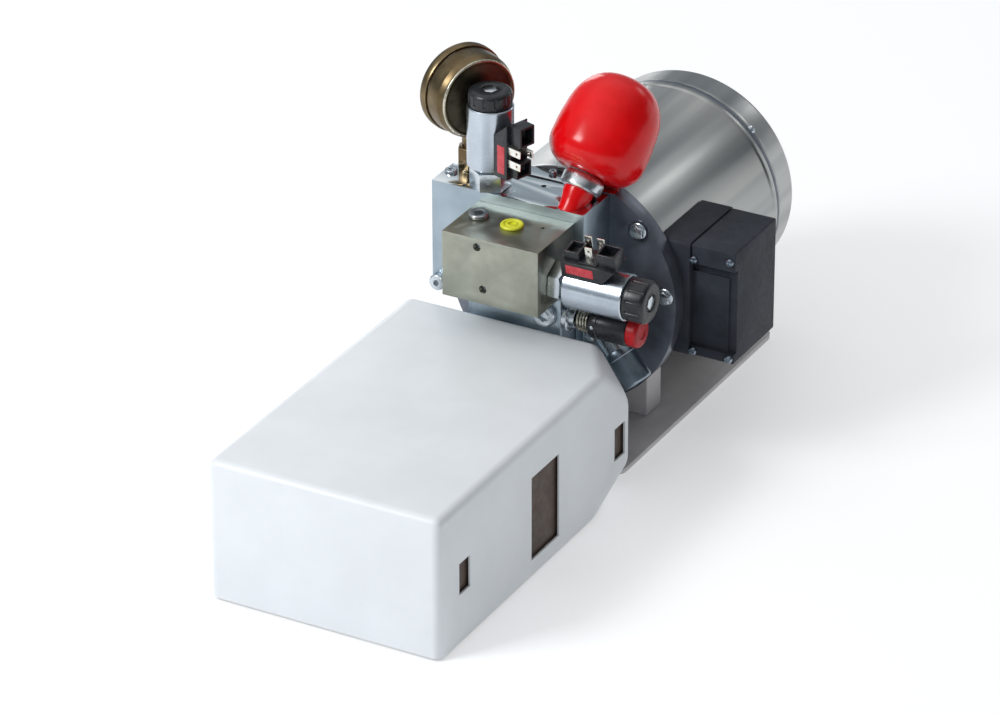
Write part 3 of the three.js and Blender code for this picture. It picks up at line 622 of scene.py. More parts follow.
def makeTankAndBase():
    makeCover()
    dressNode("oil_tank", primer)
    dressNode("tank_gasket", rubber)
    refineNode("tank_pad", rubber, "dark_rubber", 0.7)
    refineNode("base_plate", grey, "grey_base", 0.9, 3)
    for node in ("front_saddle", "rear_saddle"):
        refineNode(node, grey, "grey_base", 1.2, 3)
    print("tank and base made")


# Motor

housing = {"lip": 1.1, "lipWidth": 5.0, "wall": 3.5}
bell = {"edge": 1.6, "pads": (43, 137, 223, 317),
        "boltCircle": 90.5, "flatTop": 206.5, "padRadius": 9.0, "padHeight": 1.2,
        "hiddenBolts": (137, 223, 317)}
cowl = {"slots": 20, "slotFrom": 40, "slotTo": 74, "slotWidth": 5.2, "corner": 6.0, "skin": 1.5, "hub": 30,
        "screws": 4}


def motorAxis():
    middle = centreOf("motor_housing")
    return middle.x, middle.z


def alongMotor(piece):
    x, z = motorAxis()
    return settle(piece, aimed(x, 0, z, "Y"))


def makeHousing():
    low, high = boxOf("motor_housing")
    radius = (high.x - low.x) / 2
    inner, lip = radius - housing["wall"], radius - housing["lip"]
    profile = [(inner, low.y), (radius, low.y), (radius, low.y + housing["lipWidth"])]
    profile += [(lip, low.y + housing["lipWidth"] + 1.2), (lip, high.y - housing["lipWidth"] - 1.2)]
    profile += [(radius, high.y - housing["lipWidth"]), (radius, high.y), (inner, high.y), (inner, low.y)]
    piece = alongMotor(turnPiece("motor_shell", profile, 144))
    soften(piece, 0.5, 2, 25)
    finishPiece(piece, shellSteel, "motor_shell", "motor_housing")


def makeBell():
    low, high = boxOf("motor_front_bell")
    x, z = motorAxis()
    radius = high.x - x
    bore = 13.0
    back = low.y + 14.1
    inner = (boxOf("motor_housing")[1].x - x) - housing["wall"] - 0.3
    profile = [
        (bore, low.y + 2), (34, low.y + 2), (36, low.y), (radius, low.y), (radius, back), (inner, back),
        (inner, back + 6), (34, back + 6), (34, back + 10), (26.4, back + 10), (26.4, low.y + 8),
        (bore, low.y + 8), (bore, low.y + 2)]
    piece = alongMotor(turnPiece("front_bell", profile, 144))
    flat = bell["flatTop"]
    cutBox(piece, (-90, low.y - 9, flat), (90, back + 0.4, flat + 60))
    for angle in bell["pads"]:
        bx, bz = bolted(angle)
        cutWith(piece, settle(startPrism("cut", bell["padRadius"], -1, bell["padHeight"], 40),
            aimed(bx, low.y, bz, "Y")))
    cutWith(piece, settle(startPrism("cut", 4.3, -1, 9, 24), aimed(-84, low.y, 121, "Y")))
    soften(piece, bell["edge"] / 2, 3, 30)
    finishPiece(piece, cast, "dark_cast", "motor_front_bell")
    piece.data.materials.append(aluminium)  # the flat on top is machined bare
    for face in piece.data.polygons:
        if face.normal.z > 0.9 and abs(face.center.z / mm - flat) < 0.3:
            face.material_index = 1


def bolted(degrees):
    x, z = motorAxis()
    angle = math.radians(degrees)
    return x + math.cos(angle) * bell["boltCircle"], z + math.sin(angle) * bell["boltCircle"]


def hexBolt(name, across=10, head=5.2, washer=6.6):
    # a flanged hexagon bolt head with a domed top, drawn along -Y from its seat
    radius = across / math.sqrt(3)
    piece = startPrism(name, radius, 1.0, head, 6)
    dome = turnPiece("cut", [(radius - 0.9, head + 1), (radius + 2, head + 1), (radius + 2, head - 1.2),
                             (radius - 0.1, head - 1.2), (radius - 0.9, head - 0.35), (radius - 0.9,
                                 head + 1)], 36)
    cutWith(piece, dome)
    soften(piece, 0.25, 2, 25)
    ring = turnPiece("washer", [(0, 0), (washer, 0), (washer, 0.8), (washer - 0.5, 1.2), (0, 1.2)], 36)
    shank = startPrism("shank", 2.9, -9, 0.5, 20)
    return joinPieces(name, piece, ring, shank)


def makeBellBolts():
    seat = boxOf("motor_front_bell")[0].y
    model = hexBolt("bolt_model")
    places = {"bell_screw_1": (43, "bell_bolt_1"), "bell_screw_2": (7, "bell_bolt_2")}
    for name, (degrees, node) in places.items():
        bx, bz = bolted(degrees)
        piece = copyPiece(model, name, aimed(bx, seat, bz, "-Y"))
        finishPiece(piece, zinc, "zinc", node)
    for index, degrees in enumerate(bell["hiddenBolts"]):
        bx, bz = bolted(degrees)
        finishPiece(copyPiece(model, f"bell_screw_{index + 3}", aimed(bx, seat, bz, "-Y")), zinc, "zinc")
    bpy.data.objects.remove(model)


def makeRearEnd():
    x, z = motorAxis()
    refineNode("motor_rear_bell", cast, "dark_cast", 0.5)
    low, high = boxOf("fan_cowl")
    radius, front, back = high.x - x, low.y, high.y
    endRadius = radius - 1.5
    corner, skin = cowl["corner"], cowl["skin"]
    outer = [(radius, front), (radius, front + 5), (endRadius + 0.5, front + 6.2)]
    outer += arcPoints((endRadius - corner, back - corner), corner, 0, 90, 7)
    outer += [(cowl["hub"] + 8, back), (cowl["hub"] + 5, back - 2.5), (0, back - 2.5)]
    inner = [(0, back - 2.5 - skin), (cowl["hub"] + 5, back - 2.5 - skin), (cowl["hub"] + 8, back - skin)]
    inner += arcPoints((endRadius - corner, back - corner), corner - skin, 90, 0, 7)
    inner += [(radius - skin, front + 5), (radius - skin, front), (radius, front)]
    piece = alongMotor(turnPiece("rear_cowl", outer + inner, 144))
    cutter = startBox("cut", (cowl["slotFrom"], -cowl["slotWidth"] / 2, back - 12),
        (cowl["slotTo"], cowl["slotWidth"] / 2, back + 5))
    soften(cutter, 2.4, 4, 60)
    cutters = [copyPiece(cutter, "cut", spoke(i, cowl["slots"])) for i in range(cowl["slots"])]
    bpy.data.objects.remove(cutter)
    slots = joinPieces("slots", *cutters)
    cutWith(piece, alongMotor(slots))
    soften(piece, 0.35, 2, 32)
    finishPiece(piece, shellSteel, "motor_shell", "fan_cowl")
    for index in range(cowl["screws"]):
        angle = math.radians(45 + 90 * index)
        screw = turnPiece(f"cowl_screw_{index + 1}",
            [(0, -1), (3.4, -1), (3.4, 0.4), (2.6, 1.3), (1.2, 1.5), (1.2, 0.7), (0, 0.7)], 28)
        direction = Vector((math.cos(angle), 0, math.sin(angle)))
        spot = direction * (radius - 0.1) + Vector((x, front + 2.8, z))
        finishPiece(settle(screw, aimed(*spot, direction)), zinc, "zinc")


def makeMotor():
    makeHousing()
    makeBell()
    makeBellBolts()
    makeRearEnd()
    for node in ("rotor_core", "motor_shaft", "front_bearing", "rear_bearing", "coupling"):
        dressNode(node, steel)
    dressNode("stator_core", copper)
    dressNode("cooling_fan", nylon)
    print("motor made")


# Terminal box

terminal = {"ribs": 16, "lipDepth": 3.6, "lipLow": 155.0, "slotLow": 147.0, "ledgeTop": 84.0,
    "cornerIn": 6.5, "wall": 3.0,
            "screws": ((105.5, 158.5), (106, 80.0), (136.5, 80.0), (136, 163))}


def makeTerminalBox():
    refineNode("terminal_base", moulded, "black_plastic", 0.7, 2)
    low, high = boxOf("terminal_lid")
    piece = startBox("box_lid", low, high)
    soften(piece, 1.3, 3, 60)
    t = terminal
    front = low.y + t["lipDepth"]
    cutBox(piece, (low.x - 5, low.y - 5, t["ledgeTop"]), (high.x + 5, front, t["lipLow"]))
    cutBox(piece, (high.x - t["cornerIn"], low.y - 5, t["ledgeTop"]),
        (high.x + 5, front + 1.6, t["lipLow"]))
    cutBox(piece, (low.x - 5, low.y - 5, t["slotLow"]), (high.x - t["cornerIn"], front + 2.6, t["lipLow"]))
    behind = t["wall"] + t["lipDepth"] + 2.0
    cutBox(piece, low + Vector((-5, behind, t["wall"])), high - Vector((t["wall"],) * 3))
    gland = centreOf("cable_gland")
    cutWith(piece, settle(startPrism("cut", 8.3, -8, 4, 40), aimed(gland.x, high.y, gland.z, "Y")))
    soften(piece, 0.7, 3, 40)
    finishPiece(piece, moulded, "black_plastic", "terminal_lid")
    for index, (sx, sz) in enumerate(t["screws"]):
        screw = panScrew(f"lid_screw_{index + 1}", 3.4)
        finishPiece(settle(screw, aimed(sx, low.y, sz, "-Y")), bluedSteelAndSheen, "steel")
    makeGland()
    print("terminal box made")


def panScrew(name, radius):
    # a domed head with a cross recess, standing along Z from its seat
    piece = turnPiece(name, [(0, -3), (radius * 0.5, -3), (radius * 0.5, 0), (radius, 0), (radius, 0.6)]
                      + arcPoints((0, 0.2), radius, 12, 90, 5)[1:], 32)
    for k in range(2):
        bar = startBox("cut", (-radius * 0.6, -0.4, radius - 1.4), (radius * 0.6, 0.4, radius + 3))
        cutWith(piece, settle(bar, Matrix.Rotation(k * math.pi / 2, 4, "Z")))
    flatten = startPrism("cut", radius * 2, radius * 0.75, radius + 3, 20)
    return cutWith(piece, flatten)


def makeGland():
    low = boxOf("cable_gland")[0]
    centre = centreOf("cable_gland")
    seat = boxOf("terminal_lid")[1].y
    body = turnPiece("gland_body", [(5, low.y - seat), (8, low.y - seat), (8, 0.3), (11, 0.3),
        (11, 7), (5, 7), (5, low.y - seat)], 48)
    nut = startPrism("nut", 12.0, 0.4, 6.6, 6)
    soften(nut, 0.8, 3, 30)
    dome = turnPiece("dome", [(5.2, 7), (10.6, 7), (10.6, 14), (9.4, 16.6), (7.6, 18), (5.2, 18),
        (5.2, 7)], 48)
    ribs = [copyRib(k) for k in range(terminal["ribs"])]
    hole = startPrism("cut", 5.1, -9, 25, 40)
    cutWith(nut, hole)
    piece = joinPieces("entry_gland", body, nut, dome, *ribs)
    settle(piece, aimed(centre.x, seat, centre.z, "Y"))
    soften(piece, 0.3, 2, 35)
    finishPiece(piece, nylon, "black_plastic", "cable_gland")


def copyRib(k):
    rib = startBox("rib", (10.2, -0.6, 7.6), (11.2, 0.6, 14.2))
    return settle(rib, spoke(k, terminal["ribs"]))


# Pump, manifold and valve block

holes = {
    "manifoldTop": ((-9.7, -84.5, 2.2), (-64, -112, 1.6), (33, -80, 2.2)),
    "blockFront": ((-19, 190.5), (-14, 156)),
    "screwHead": 2.9, "screwSunk": 7.0, "sidePlug": (-84, -97), "bleedScrew": (-12.5, -65),
}


def makeManifold():
    low, high = boxOf("centre_manifold")
    piece = copyCad("centre_manifold", "main_manifold")
    for x, y, radius in holes["manifoldTop"]:
        cutWith(piece, settle(startPrism("cut", radius, -9, 2, 28), aimed(x, y, high.z)))
    soften(piece, 0.8, 3, 40)
    finishPiece(piece, aluminium, "aluminium", "centre_manifold")
    head = capScrew("manifold_cap_screw", 6.5, 6.5, 5)
    centre = centreOf("manifold_screw")
    finishPiece(settle(head, aimed(centre.x, low.y, centre.z, "-Y")), zinc, "zinc", "manifold_screw")
    refineNode("pump_body", aluminium, "aluminium", 0.8, 3)
    plug = centreOf("pump_plug")
    front = boxOf("pump_body")[0].y
    ring = turnPiece("pump_port_plug", [(0, 0.4), (9.5, 0.4), (9.5, 3.8), (8.6, 5.0), (7.4, 5.4),
        (5.6, 4.6), (5.2, 4.6), (4.8, 5.4), (0, 5.4)], 64)
    cutWith(ring, startPrism("cut", 8 / math.sqrt(3), 1.6, 8, 6))
    soften(ring, 0.3, 2, 30)
    finishPiece(settle(ring, aimed(plug.x, front + 0.2, plug.z, "-Y")), zinc, "zinc", "pump_plug")
    for node in ("pump_drive_gear", "pump_driven_gear", "suction_tube", "return_tube"):
        dressNode(node, steel)
    dressNode("suction_strainer", zinc)
    print("manifold made")


def capScrew(name, radius, height, key):
    # a socket cap screw with a knurled side, standing along Z from its seat
    piece = turnPiece(name, [(0, -4), (radius * 0.6, -4), (radius * 0.6, 0.2), (radius, 0.2),
        (radius, height - 0.7),
                             (radius - 0.7, height), (0, height)], 60)

    def grooved(face):
        turn = round(math.degrees(math.atan2(face.center.y, face.center.x)) / 6 - 0.5)
        return abs(face.normal.z) < 0.1 and face.center.z > mm and turn % 2 == 0

    openWhere(piece, "FACE", grooved)
    bpy.ops.mesh.inset(thickness=0.08 * mm, depth=-0.22 * mm, use_individual=True)
    closeMesh()
    return cutWith(piece, startPrism("cut", key / math.sqrt(3), height * 0.45, height + 3, 6))


def makeValveBlock():
    low, high = boxOf("valve_block")
    piece = copyCad("valve_block", "olive_block")
    soften(piece, 0.9, 3, 40)
    finishPiece(piece, olive, "olive_block", "valve_block")
    for index, (x, z) in enumerate(holes["blockFront"]):
        screw = capScrew(f"block_screw_{index + 1}", holes["screwHead"], 3, 2.5)
        finishPiece(settle(screw, aimed(x, low.y + holes["screwSunk"], z, "-Y")), zinc, "zinc")
    makeBlockPlugs(high.z)
    print("valve block made")


def makeBlockPlugs(top):
    spot = centreOf("yellow_plug")
    cap = turnPiece("yellow_cap", [(0, -6), (6, -6), (6, 0.2), (9, 0.2), (9, 1.4), (8.3, 2.3),
        (6.4, 2.3), (6.0, 1.7),
                                   (4.6, 1.7), (4.2, 2.2), (0, 2.2)], 64)
    cutWith(cap, startPrism("cut", 3.1, 1.2, 4, 6, 0.3))
    soften(cap, 0.2, 2, 30)
    finishPiece(settle(cap, aimed(spot.x, spot.y, top)), yellow, "yellow_plastic", "yellow_plug")
    spot = centreOf("steel_plug")
    plug = turnPiece("steel_port_plug", [(0, -10), (6, -10), (6, 0.3), (8, 0.3), (8, 2.6),
        (7.3, 3.4), (5.4, 3.4), (5.0, 3.0), (0, 3.0)], 64)
    cutWith(plug, startPrism("cut", 7 / math.sqrt(3), -2, 6, 6))
    soften(plug, 0.25, 2, 30)
    finishPiece(settle(plug, aimed(spot.x, spot.y, top)), steel, "zinc", "steel_plug")
    manifoldTop = boxOf("centre_manifold")[1].z
    boss = turnPiece("gauge_side_plug", [(0, -6), (3.4, -6), (3.4, 0.2), (5, 0.2), (5, 2.2),
        (4.4, 2.8), (0, 2.8)], 40)
    cutWith(boss, startPrism("cut", 2.3, 1.2, 4, 6))
    finishPiece(settle(boss, aimed(*holes["sidePlug"], manifoldTop)), zinc, "zinc")
    screw = capScrew("bleed_screw", 3.2, 3.4, 3)
    finishPiece(settle(screw, aimed(*holes["bleedScrew"], bell["flatTop"])), zinc, "zinc")


# Solenoid valves, drawn along Z from the start of the coil with the connector towards X

valve = {
    "radius": 18.2, "length": 50.0, "stem": 7.3, "hex": 28.0, "notches": 12,
    "upperTurn": -0.3, "sideTurn": 0.2,     # radians about the valve's own axis
    "base": {"from": 15.0, "to": 29.0, "half": 11.0, "low": -1.0, "high": 44.0,
        "cut": (18.0, 35.0, 29.0, 44.5)},
    "blocks": ((28, 37, 7.5, 1, 13.5), (28, 40.5, 7.5, 28, 44)),     # from, to, half width, low, high
    "blades": ((-9.2, 13.5), (-9.2, 24.0), (4.0, 20.5)), "bladeTop": 42.0,
    "label": {"from": 18.8, "to": 26.6, "low": 3.0, "high": 26.0},
}


def makeCoil(name):
    v = valve
    r, top = v["radius"], v["length"]
    profile = [(v["stem"], 0.4), (15.0, 0.4), (15.2, 0), (r - 0.8, 0), (r, 0.8), (r, top - 0.8),
        (r - 0.8, top),
               (15.2, top), (15.0, top - 0.4), (v["stem"], top - 0.4), (v["stem"], 0.4)]
    return turnPiece(name, profile, 96)


def makeConnector(name):
    b = valve["base"]
    piece = startBox(name, (b["from"], -b["half"], b["low"]), (b["to"], b["half"], b["high"]))
    r0, z0, r1, z1 = b["cut"]
    sliceCorner(piece, (r0, 0, z0), (r1, 0, z1), (r0, 5, z0), (r0, 0, b["high"] + 5))
    cutWith(piece, startPrism("cut", valve["radius"] + 0.25, -20, 70, 96))
    soften(piece, 0.9, 3, 40)
    parts = []
    for start, end, half, low, high in valve["blocks"]:
        part = startBox("block", (start, -half, low), (end, half, high))
        hollow = startBox("cut", (start + 3, -half + 1.6, low + 1.8), (end + 3, half - 1.6, high - 1.8))
        cutWith(part, hollow)
        soften(part, 0.6, 3, 40)
        parts.append(part)
    ridge = startBox("ridge", (27, -b["half"] + 2, 13), (30.5, b["half"] - 2, 28.5))
    soften(ridge, 0.6, 2, 40)
    return joinPieces(name, piece, ridge, *parts)


def makeBlades(name):
    blades = []
    for y, z in valve["blades"]:
        tab = startBox("tab", (28, y - 0.6, z - 3.1), (valve["bladeTop"], y + 0.6, z + 3.1))
        cutWith(tab, settle(startPrism("cut", 0.9, -3, 3, 20), aimed(valve["bladeTop"] - 3.6, y, z, "Y")))
        soften(tab, 0.25, 2, 40)
        blades.append(tab)
    return joinPieces(name, *blades)


def makeLabel(name):
    t = valve["label"]
    half = valve["base"]["half"]
    sides = []
    for sign in (-1, 1):
        outer, inner = sorted((sign * (half + 0.25), sign * (half - 0.3)))
        plate = startBox("plate", (t["from"], outer, t["low"]), (t["to"], inner, t["high"]))
        soften(plate, 0.5, 2, 60)
        sides.append(plate)
    return joinPieces(name, *sides)


def makeValveCap(name, length):
    r, top = 17.0, length
    outer = [(0, top - 1.8), (6.6, top - 1.8), (7.2, top - 0.4), (8.2, top)]
    outer += [(r - 4.5, top)] + arcPoints((r - 4.0, top - 4.0), 4.0, 80, 8, 5)
    piece = turnPiece(name, [(0, 0.3), (r - 0.6, 0.3), (r, 1.2), (r, 3.0)] + outer[::-1], 96)
    notches = []
    for k in range(valve["notches"]):
        notch = startPrism("cut", 1.5, 3.4, length + 3, 16)
        notches.append(settle(notch, spoke(k, valve["notches"])
            @ Matrix.Translation((r * mm + 0.7 * mm, 0, 0))))
    cutWith(piece, joinPieces("notches", *notches))
    nut = startPrism("tube_nut", 5.4, top - 2.4, top - 0.7, 6)
    soften(nut, 0.3, 2, 30)
    return piece, nut


def makeCartridge(name, coilStart):
    hexRadius = valve["hex"] / math.sqrt(3)
    top = coilStart - 3.0
    hexPart = startPrism(name, hexRadius, 0.4, top, 6, 0.26)
    chamfer = turnPiece("cut", [(hexRadius + 3, top + 1), (hexRadius - 1.8, top + 1),
        (hexRadius - 1.8, top),
                                (hexRadius + 3, top - 2.6), (hexRadius + 3, top + 1)], 60)
    cutWith(hexPart, chamfer)
    neck = turnPiece("neck", [(0, top - 1), (12.5, top - 1), (12.5, top + 1.2), (11.6, top + 1.8),
        (11.6, coilStart),
                              (6.9, coilStart), (6.9, coilStart + valve["length"] + 6), (0,
                                  coilStart + valve["length"] + 6)], 60)
    nose = turnPiece("nose", [(0, -20), (8.6, -20), (9, -19.4), (9, 0.5), (0, 0.5)], 48)
    soften(hexPart, 0.3, 2, 30)
    return joinPieces(name, hexPart, neck, nose)


def makeValves():
    upper, side = centreOf("upper_valve_coil"), centreOf("side_valve_coil")
    manifoldTop = boxOf("centre_manifold")[1].z
    blockRight = boxOf("valve_block")[1].x
    places = {
        "upper": (moved(upper.x, upper.y, manifoldTop) @ Matrix.Rotation(valve["upperTurn"], 4, "Z"),
                  boxOf("upper_valve_coil")[0].z - manifoldTop,
                  boxOf("upper_valve_cap")[1].z - boxOf("upper_valve_coil")[1].z),
        "side": (moved(blockRight, side.y, side.z) @ Matrix.Rotation(valve["sideTurn"], 4, "X")
                 @ Matrix.Rotation(math.pi / 2, 4, "Y") @ Matrix.Rotation(math.pi, 4, "Z"),
                 boxOf("side_valve_coil")[0].x - blockRight,
                 boxOf("side_valve_cap")[1].x - boxOf("side_valve_coil")[1].x),
    }
    coil, connector = makeCoil("coil_model"), makeConnector("connector_model")
    blades, label = makeBlades("blade_model"), makeLabel("label_model")
    for which, (matrix, coilStart, capLength) in places.items():
        coilPlace = matrix @ Matrix.Translation((0, 0, coilStart * mm))
        finishPiece(copyPiece(coil, f"{which}_coil", coilPlace), nickel, "zinc", f"{which}_valve_coil")
        finishPiece(copyPiece(connector, f"{which}_connector", coilPlace), nylon, "black_plastic",
            f"{which}_valve_connector")
        finishPiece(copyPiece(blades, f"{which}_blades", coilPlace), blade)
        finishPiece(copyPiece(label, f"{which}_label", coilPlace), labelRed, "red_plastic")
        cartridge = settle(makeCartridge(f"{which}_cartridge", coilStart), matrix)
        finishPiece(cartridge, zinc, "zinc", f"{which}_valve_cartridge")
        capPlace = matrix @ Matrix.Translation((0, 0, (coilStart + valve["length"]) * mm))
        cap, nut = makeValveCap(f"{which}_cap", capLength)
        finishPiece(settle(cap, capPlace), nylon, "black_plastic", f"{which}_valve_cap")
        nut.name = f"{which}_cap_nut"
        finishPiece(settle(nut, capPlace), zinc, "zinc")
        dressNode(f"{which}_valve_armature", steel)
    for model in (coil, connector, blades, label):
        bpy.data.objects.remove(model)
    print("valves made")


# Pressure gauge, drawn along Z with its dial towards +Z

gauge = {"radius": 36.0, "depth": 30.0, "backRadius": 31.5, "dialRadius": 31.0, "numbers": 6,
    "stepValue": 50,
         "ticks": 25, "start": 225.0, "sweep": 270.0}


def gaugePlace():
    joint = joints["pointer_turn"]
    return Matrix.Translation(Vector(joint["pos_m"])) @ Matrix.Rotation(math.radians(240), 4,
        "Z") @ Matrix.Rotation(
        math.pi / 2, 4, "X")


def makeGauge():
    g = gauge
    half, r, back = g["depth"] / 2, g["radius"], g["backRadius"]
    # the back is a shallow dish inside a ridge, then the barrel swells towards the bezel
    shell = [(0, -half + 2.2), (9, -half + 2.2), (10, -half + 1.4), (26, -half + 1.4), (28.5, -half + 0.6)]
    shell += arcPoints((back - 1.6, -half + 1.6), 1.6, 270, 360, 5)
    shell += [(back + 0.2, -half + 3.2), (r - 2.2, -half + 6.5), (r - 1.6, half - 9.5),
        (r - 2.4, half - 8.4),
              (r - 3.4, half - 8.4), (r - 3.4, -half + 8), (0, -half + 8)]
    piece = turnPiece("gauge_barrel", shell, 120)
    soften(piece, 0.4, 3, 30)
    finishPiece(settle(piece, gaugePlace()), bronze, "bronze", "gauge_case")
    inner = back - 1.6
    plate = turnPiece("gauge_back_plate", [(0, -half + 0.5), (8, -half + 0.5), (10, -half - 0.1),
        (24, -half - 0.1), (26.5, -half + 0.6),
                                           (inner - 0.4, -half + 0.6), (inner - 0.4, -half
                                               + 2.5), (0, -half + 2.5)], 96)
    # the back plate takes the darker copy of the lacquer: painted shade
    finishPiece(settle(plate, gaugePlace()), shadedBronze, "bronze")
    # the ridge bead wears pale spring-wire metal: a painted highlight along the edge between back and barrel
    ridge = turnPiece("gauge_ridge", arcPoints((back - 0.9, -half + 1.4), 1.25, 0, 360, 12), 120)
    finishPiece(settle(ridge, gaugePlace()), spring, "bronze")
    bezel = [(r - 5.4, half - 0.4)] + arcPoints((r - 2.0, half - 2.0), 2.0, 90, 0, 6)
    bezel += [(r, half - 7), (r - 0.6, half - 8), (r - 2.6, half - 8), (r - 2.6, half - 2.4),
        (r - 5.4, half - 2.4), (r - 5.4, half - 0.4)]
    piece = turnPiece("gauge_rim", bezel, 120)
    finishPiece(settle(piece, gaugePlace()), bronze, "bronze", "gauge_bezel")
    glass = turnPiece("gauge_window", [(0, half - 5), (r - 3.6, half - 5), (r - 3.6, half - 3.6),
        (r - 4.4, half - 3), (0, half - 3)], 96)
    finishPiece(settle(glass, gaugePlace()), acrylic, "lens", "gauge_lens")
    vent = turnPiece("gauge_vent_plug", [(0, -half + 1.1), (2, -half + 0.7), (5.4, -half + 0.7),
        (6, -half + 1.4), (6, -half + 3), (0, -half + 3)], 48)
    finishPiece(settle(vent, gaugePlace() @ Matrix.Translation((0, 20 * mm, 0))), rubber, "dark_rubber")
    makeDial(half)
    makePointer(half)
    makeGaugeStem()
    print("gauge made")


def weldMesh(piece):
    openMesh(piece)
    bpy.ops.mesh.remove_doubles(threshold=weld)
    bpy.ops.mesh.normals_make_consistent(inside=False)
    closeMesh()


def makeDial(half):
    g = gauge
    face = half - 12
    plate = turnPiece("gauge_face", [(2.2, face - 1), (g["dialRadius"], face - 1),
        (g["dialRadius"], face - 0.2),
                                     (g["dialRadius"] - 0.4, face), (2.2, face), (2.2, face - 1)], 96)
    finishPiece(settle(plate, gaugePlace()), dialWhite, "dial", "gauge_dial")
    marks = []
    for k in range(g["ticks"] + 1):
        long = k % 5 == 0
        tick = startBox("tick", (24.5 if long else 26.3, -0.35 if long else -0.2, face),
            (28.6, 0.35 if long else 0.2, face + 0.12))
        angle = math.radians(g["start"] - g["sweep"] * k / g["ticks"])
        marks.append(settle(tick, Matrix.Rotation(angle, 4, "Z")))
    for k in range(g["numbers"]):
        angle = math.radians(g["start"] - g["sweep"] * k / (g["numbers"] - 1))
        deselectAll()
        bpy.ops.object.text_add()
        number = bpy.context.object
        number.data.body = str(k * g["stepValue"])
        number.data.size = 5.2 * mm
        number.data.align_x, number.data.align_y = "CENTER", "CENTER"
        number.data.extrude = 0.06 * mm
        bpy.ops.object.convert(target="MESH")
        spot = moved(math.cos(angle) * 19.6, math.sin(angle) * 19.6, face + 0.06)
        number = settle(bpy.context.object, spot)
        weldMesh(number)
        marks.append(number)
    marks = joinPieces("dial_marks", *marks)
    finishPiece(settle(marks, gaugePlace()), ink)


def makePointer(half):
    angle = math.radians(gauge["start"])
    needle = startBox("needle", (-8, -1.0, half - 10), (22.5, 1.0, half - 9.2))
    openWhere(needle, "VERT", lambda vertex: vertex.co.x > 20 * mm)
    bpy.ops.transform.resize(value=(1, 0.25, 1))
    closeMesh()
    hub = turnPiece("hub", [(0, half - 16), (1.8, half - 16), (1.8, half - 11), (3.6, half - 10.6),
        (3.6, half - 9.2), (2.6, half - 8.5), (0, half - 8.5)], 40)
    settle(needle, Matrix.Rotation(angle, 4, "Z"))
    piece = joinPieces("gauge_needle", needle, hub)
    soften(piece, 0.15, 2, 40)
    finishPiece(settle(piece, gaugePlace()), nylon, "black_plastic", "gauge_pointer", body="pointer")


def makeGaugeStem():
    high = boxOf("gauge_stem")[1]
    seat = boxOf("centre_manifold")[1].z
    spot = centreOf("gauge_stem")
    length = high.z - seat
    hexPart = startPrism("gauge_fitting", 17 / math.sqrt(3), 0.4, length - 9, 6, 0.4)
    soften(hexPart, 0.9, 3, 30)
    neck = turnPiece("neck", [(0, -11), (4.8, -11), (4.8, 0.3), (8.6, 0.3), (8.6, 2), (6.2, 3),
        (6.2, length - 1), (7.6, length + 1.5), (0, length + 1.5)], 48)
    piece = joinPieces("gauge_fitting", hexPart, neck)
    finishPiece(settle(piece, aimed(spot.x, spot.y, seat)), bronze, "bronze", "gauge_stem")


# Accumulator, drawn along Z from its foot

accumulator = {"x": 24.4, "y": -102.4, "tilt": 41.0, "turn": -11.8, "start": 25.0, "length": 81.0,
    "radius": 38.6}


def makeAccumulator():
    a = accumulator
    seat = boxOf("centre_manifold")[1].z + 0.3
    place = (moved(a["x"], a["y"], seat) @ Matrix.Rotation(math.radians(a["turn"]), 4, "Z")
             @ Matrix.Rotation(math.radians(-a["tilt"]), 4, "X"))
    r, start = a["radius"], a["start"]
    profile = [(0, start + 1.2), (10.5, start + 1.2), (13.5, start + 0.2), (17, start)]
    lower = arcPoints((r - 20, start + 20), 20, 290, 360, 9)
    profile += lower
    profile += [(r, start + 24), (r, start + 30)]
    shoulder = []
    for k in range(1, 13):
        t = math.radians(90 * k / 12)
        shoulder.append((max(0.0, (r - 1.2) * math.cos(t) ** 0.78), start + 42
            + (a["length"] - 42) * math.sin(t)))
    profile += [(r - 0.3, start + 36)] + shoulder[:-1] + [(5.2, start + a["length"] - 0.25),
        (5.2, start + a["length"] - 1.6), (0, start + a["length"] - 1.6)]
    shell = turnPiece("red_shell", profile, 128)
    finishPiece(settle(shell, place), redGloss, "red_paint", "accumulator_shell", smoothAngle=50)
    cap = turnPiece("gas_screw", [(0, -1.2), (4.6, -1.2), (4.6, 0.0), (3.9, 0.6), (0, 0.6)], 48)
    cutWith(cap, startPrism("cut", 2.3, -0.6, 3, 6))
    finishPiece(settle(cap, place @ Matrix.Translation((0, 0, (start + a["length"] - 1.0) * mm))),
        zinc, "zinc")
    makeNeck(place, start)
    print("accumulator made")


def makeNeck(place, start):
    # a silver lock ring under the shell; the port's red below it only stands in for a reflection,
    # and the real neck there is most likely plain steel
    seat = boxOf("centre_manifold")[1].z + 0.1
    ring = turnPiece("neck_ring", [(0, 11.5), (12.4, 11.5), (15.4, 12.6), (16.6, 13.8), (16.6, start - 3.6),
                                   (14.6, start - 0.8), (0, start - 0.8)], 72)
    port = turnPiece("shell_port", [(0, -24), (9.4, -24), (9.4, -2), (10.2, 3), (11.6, 8),
        (12.0, 11.8), (0, 11.8)], 72)
    pieces = []
    for piece in (ring, port):
        settle(piece, place)
        pieces.append(cutBox(piece, (-60, -200, seat - 60), (100, 60, seat)))
    finishPiece(pieces[0], zinc, "zinc", "accumulator_neck")
    finishPiece(pieces[1], redGloss, "red_paint")


# Push valve and outlet

push = {"radius": 12.5, "coilRadius": 8.6, "wire": 0.95, "turns": 4, "from": 10.6, "pitch": 2.5}


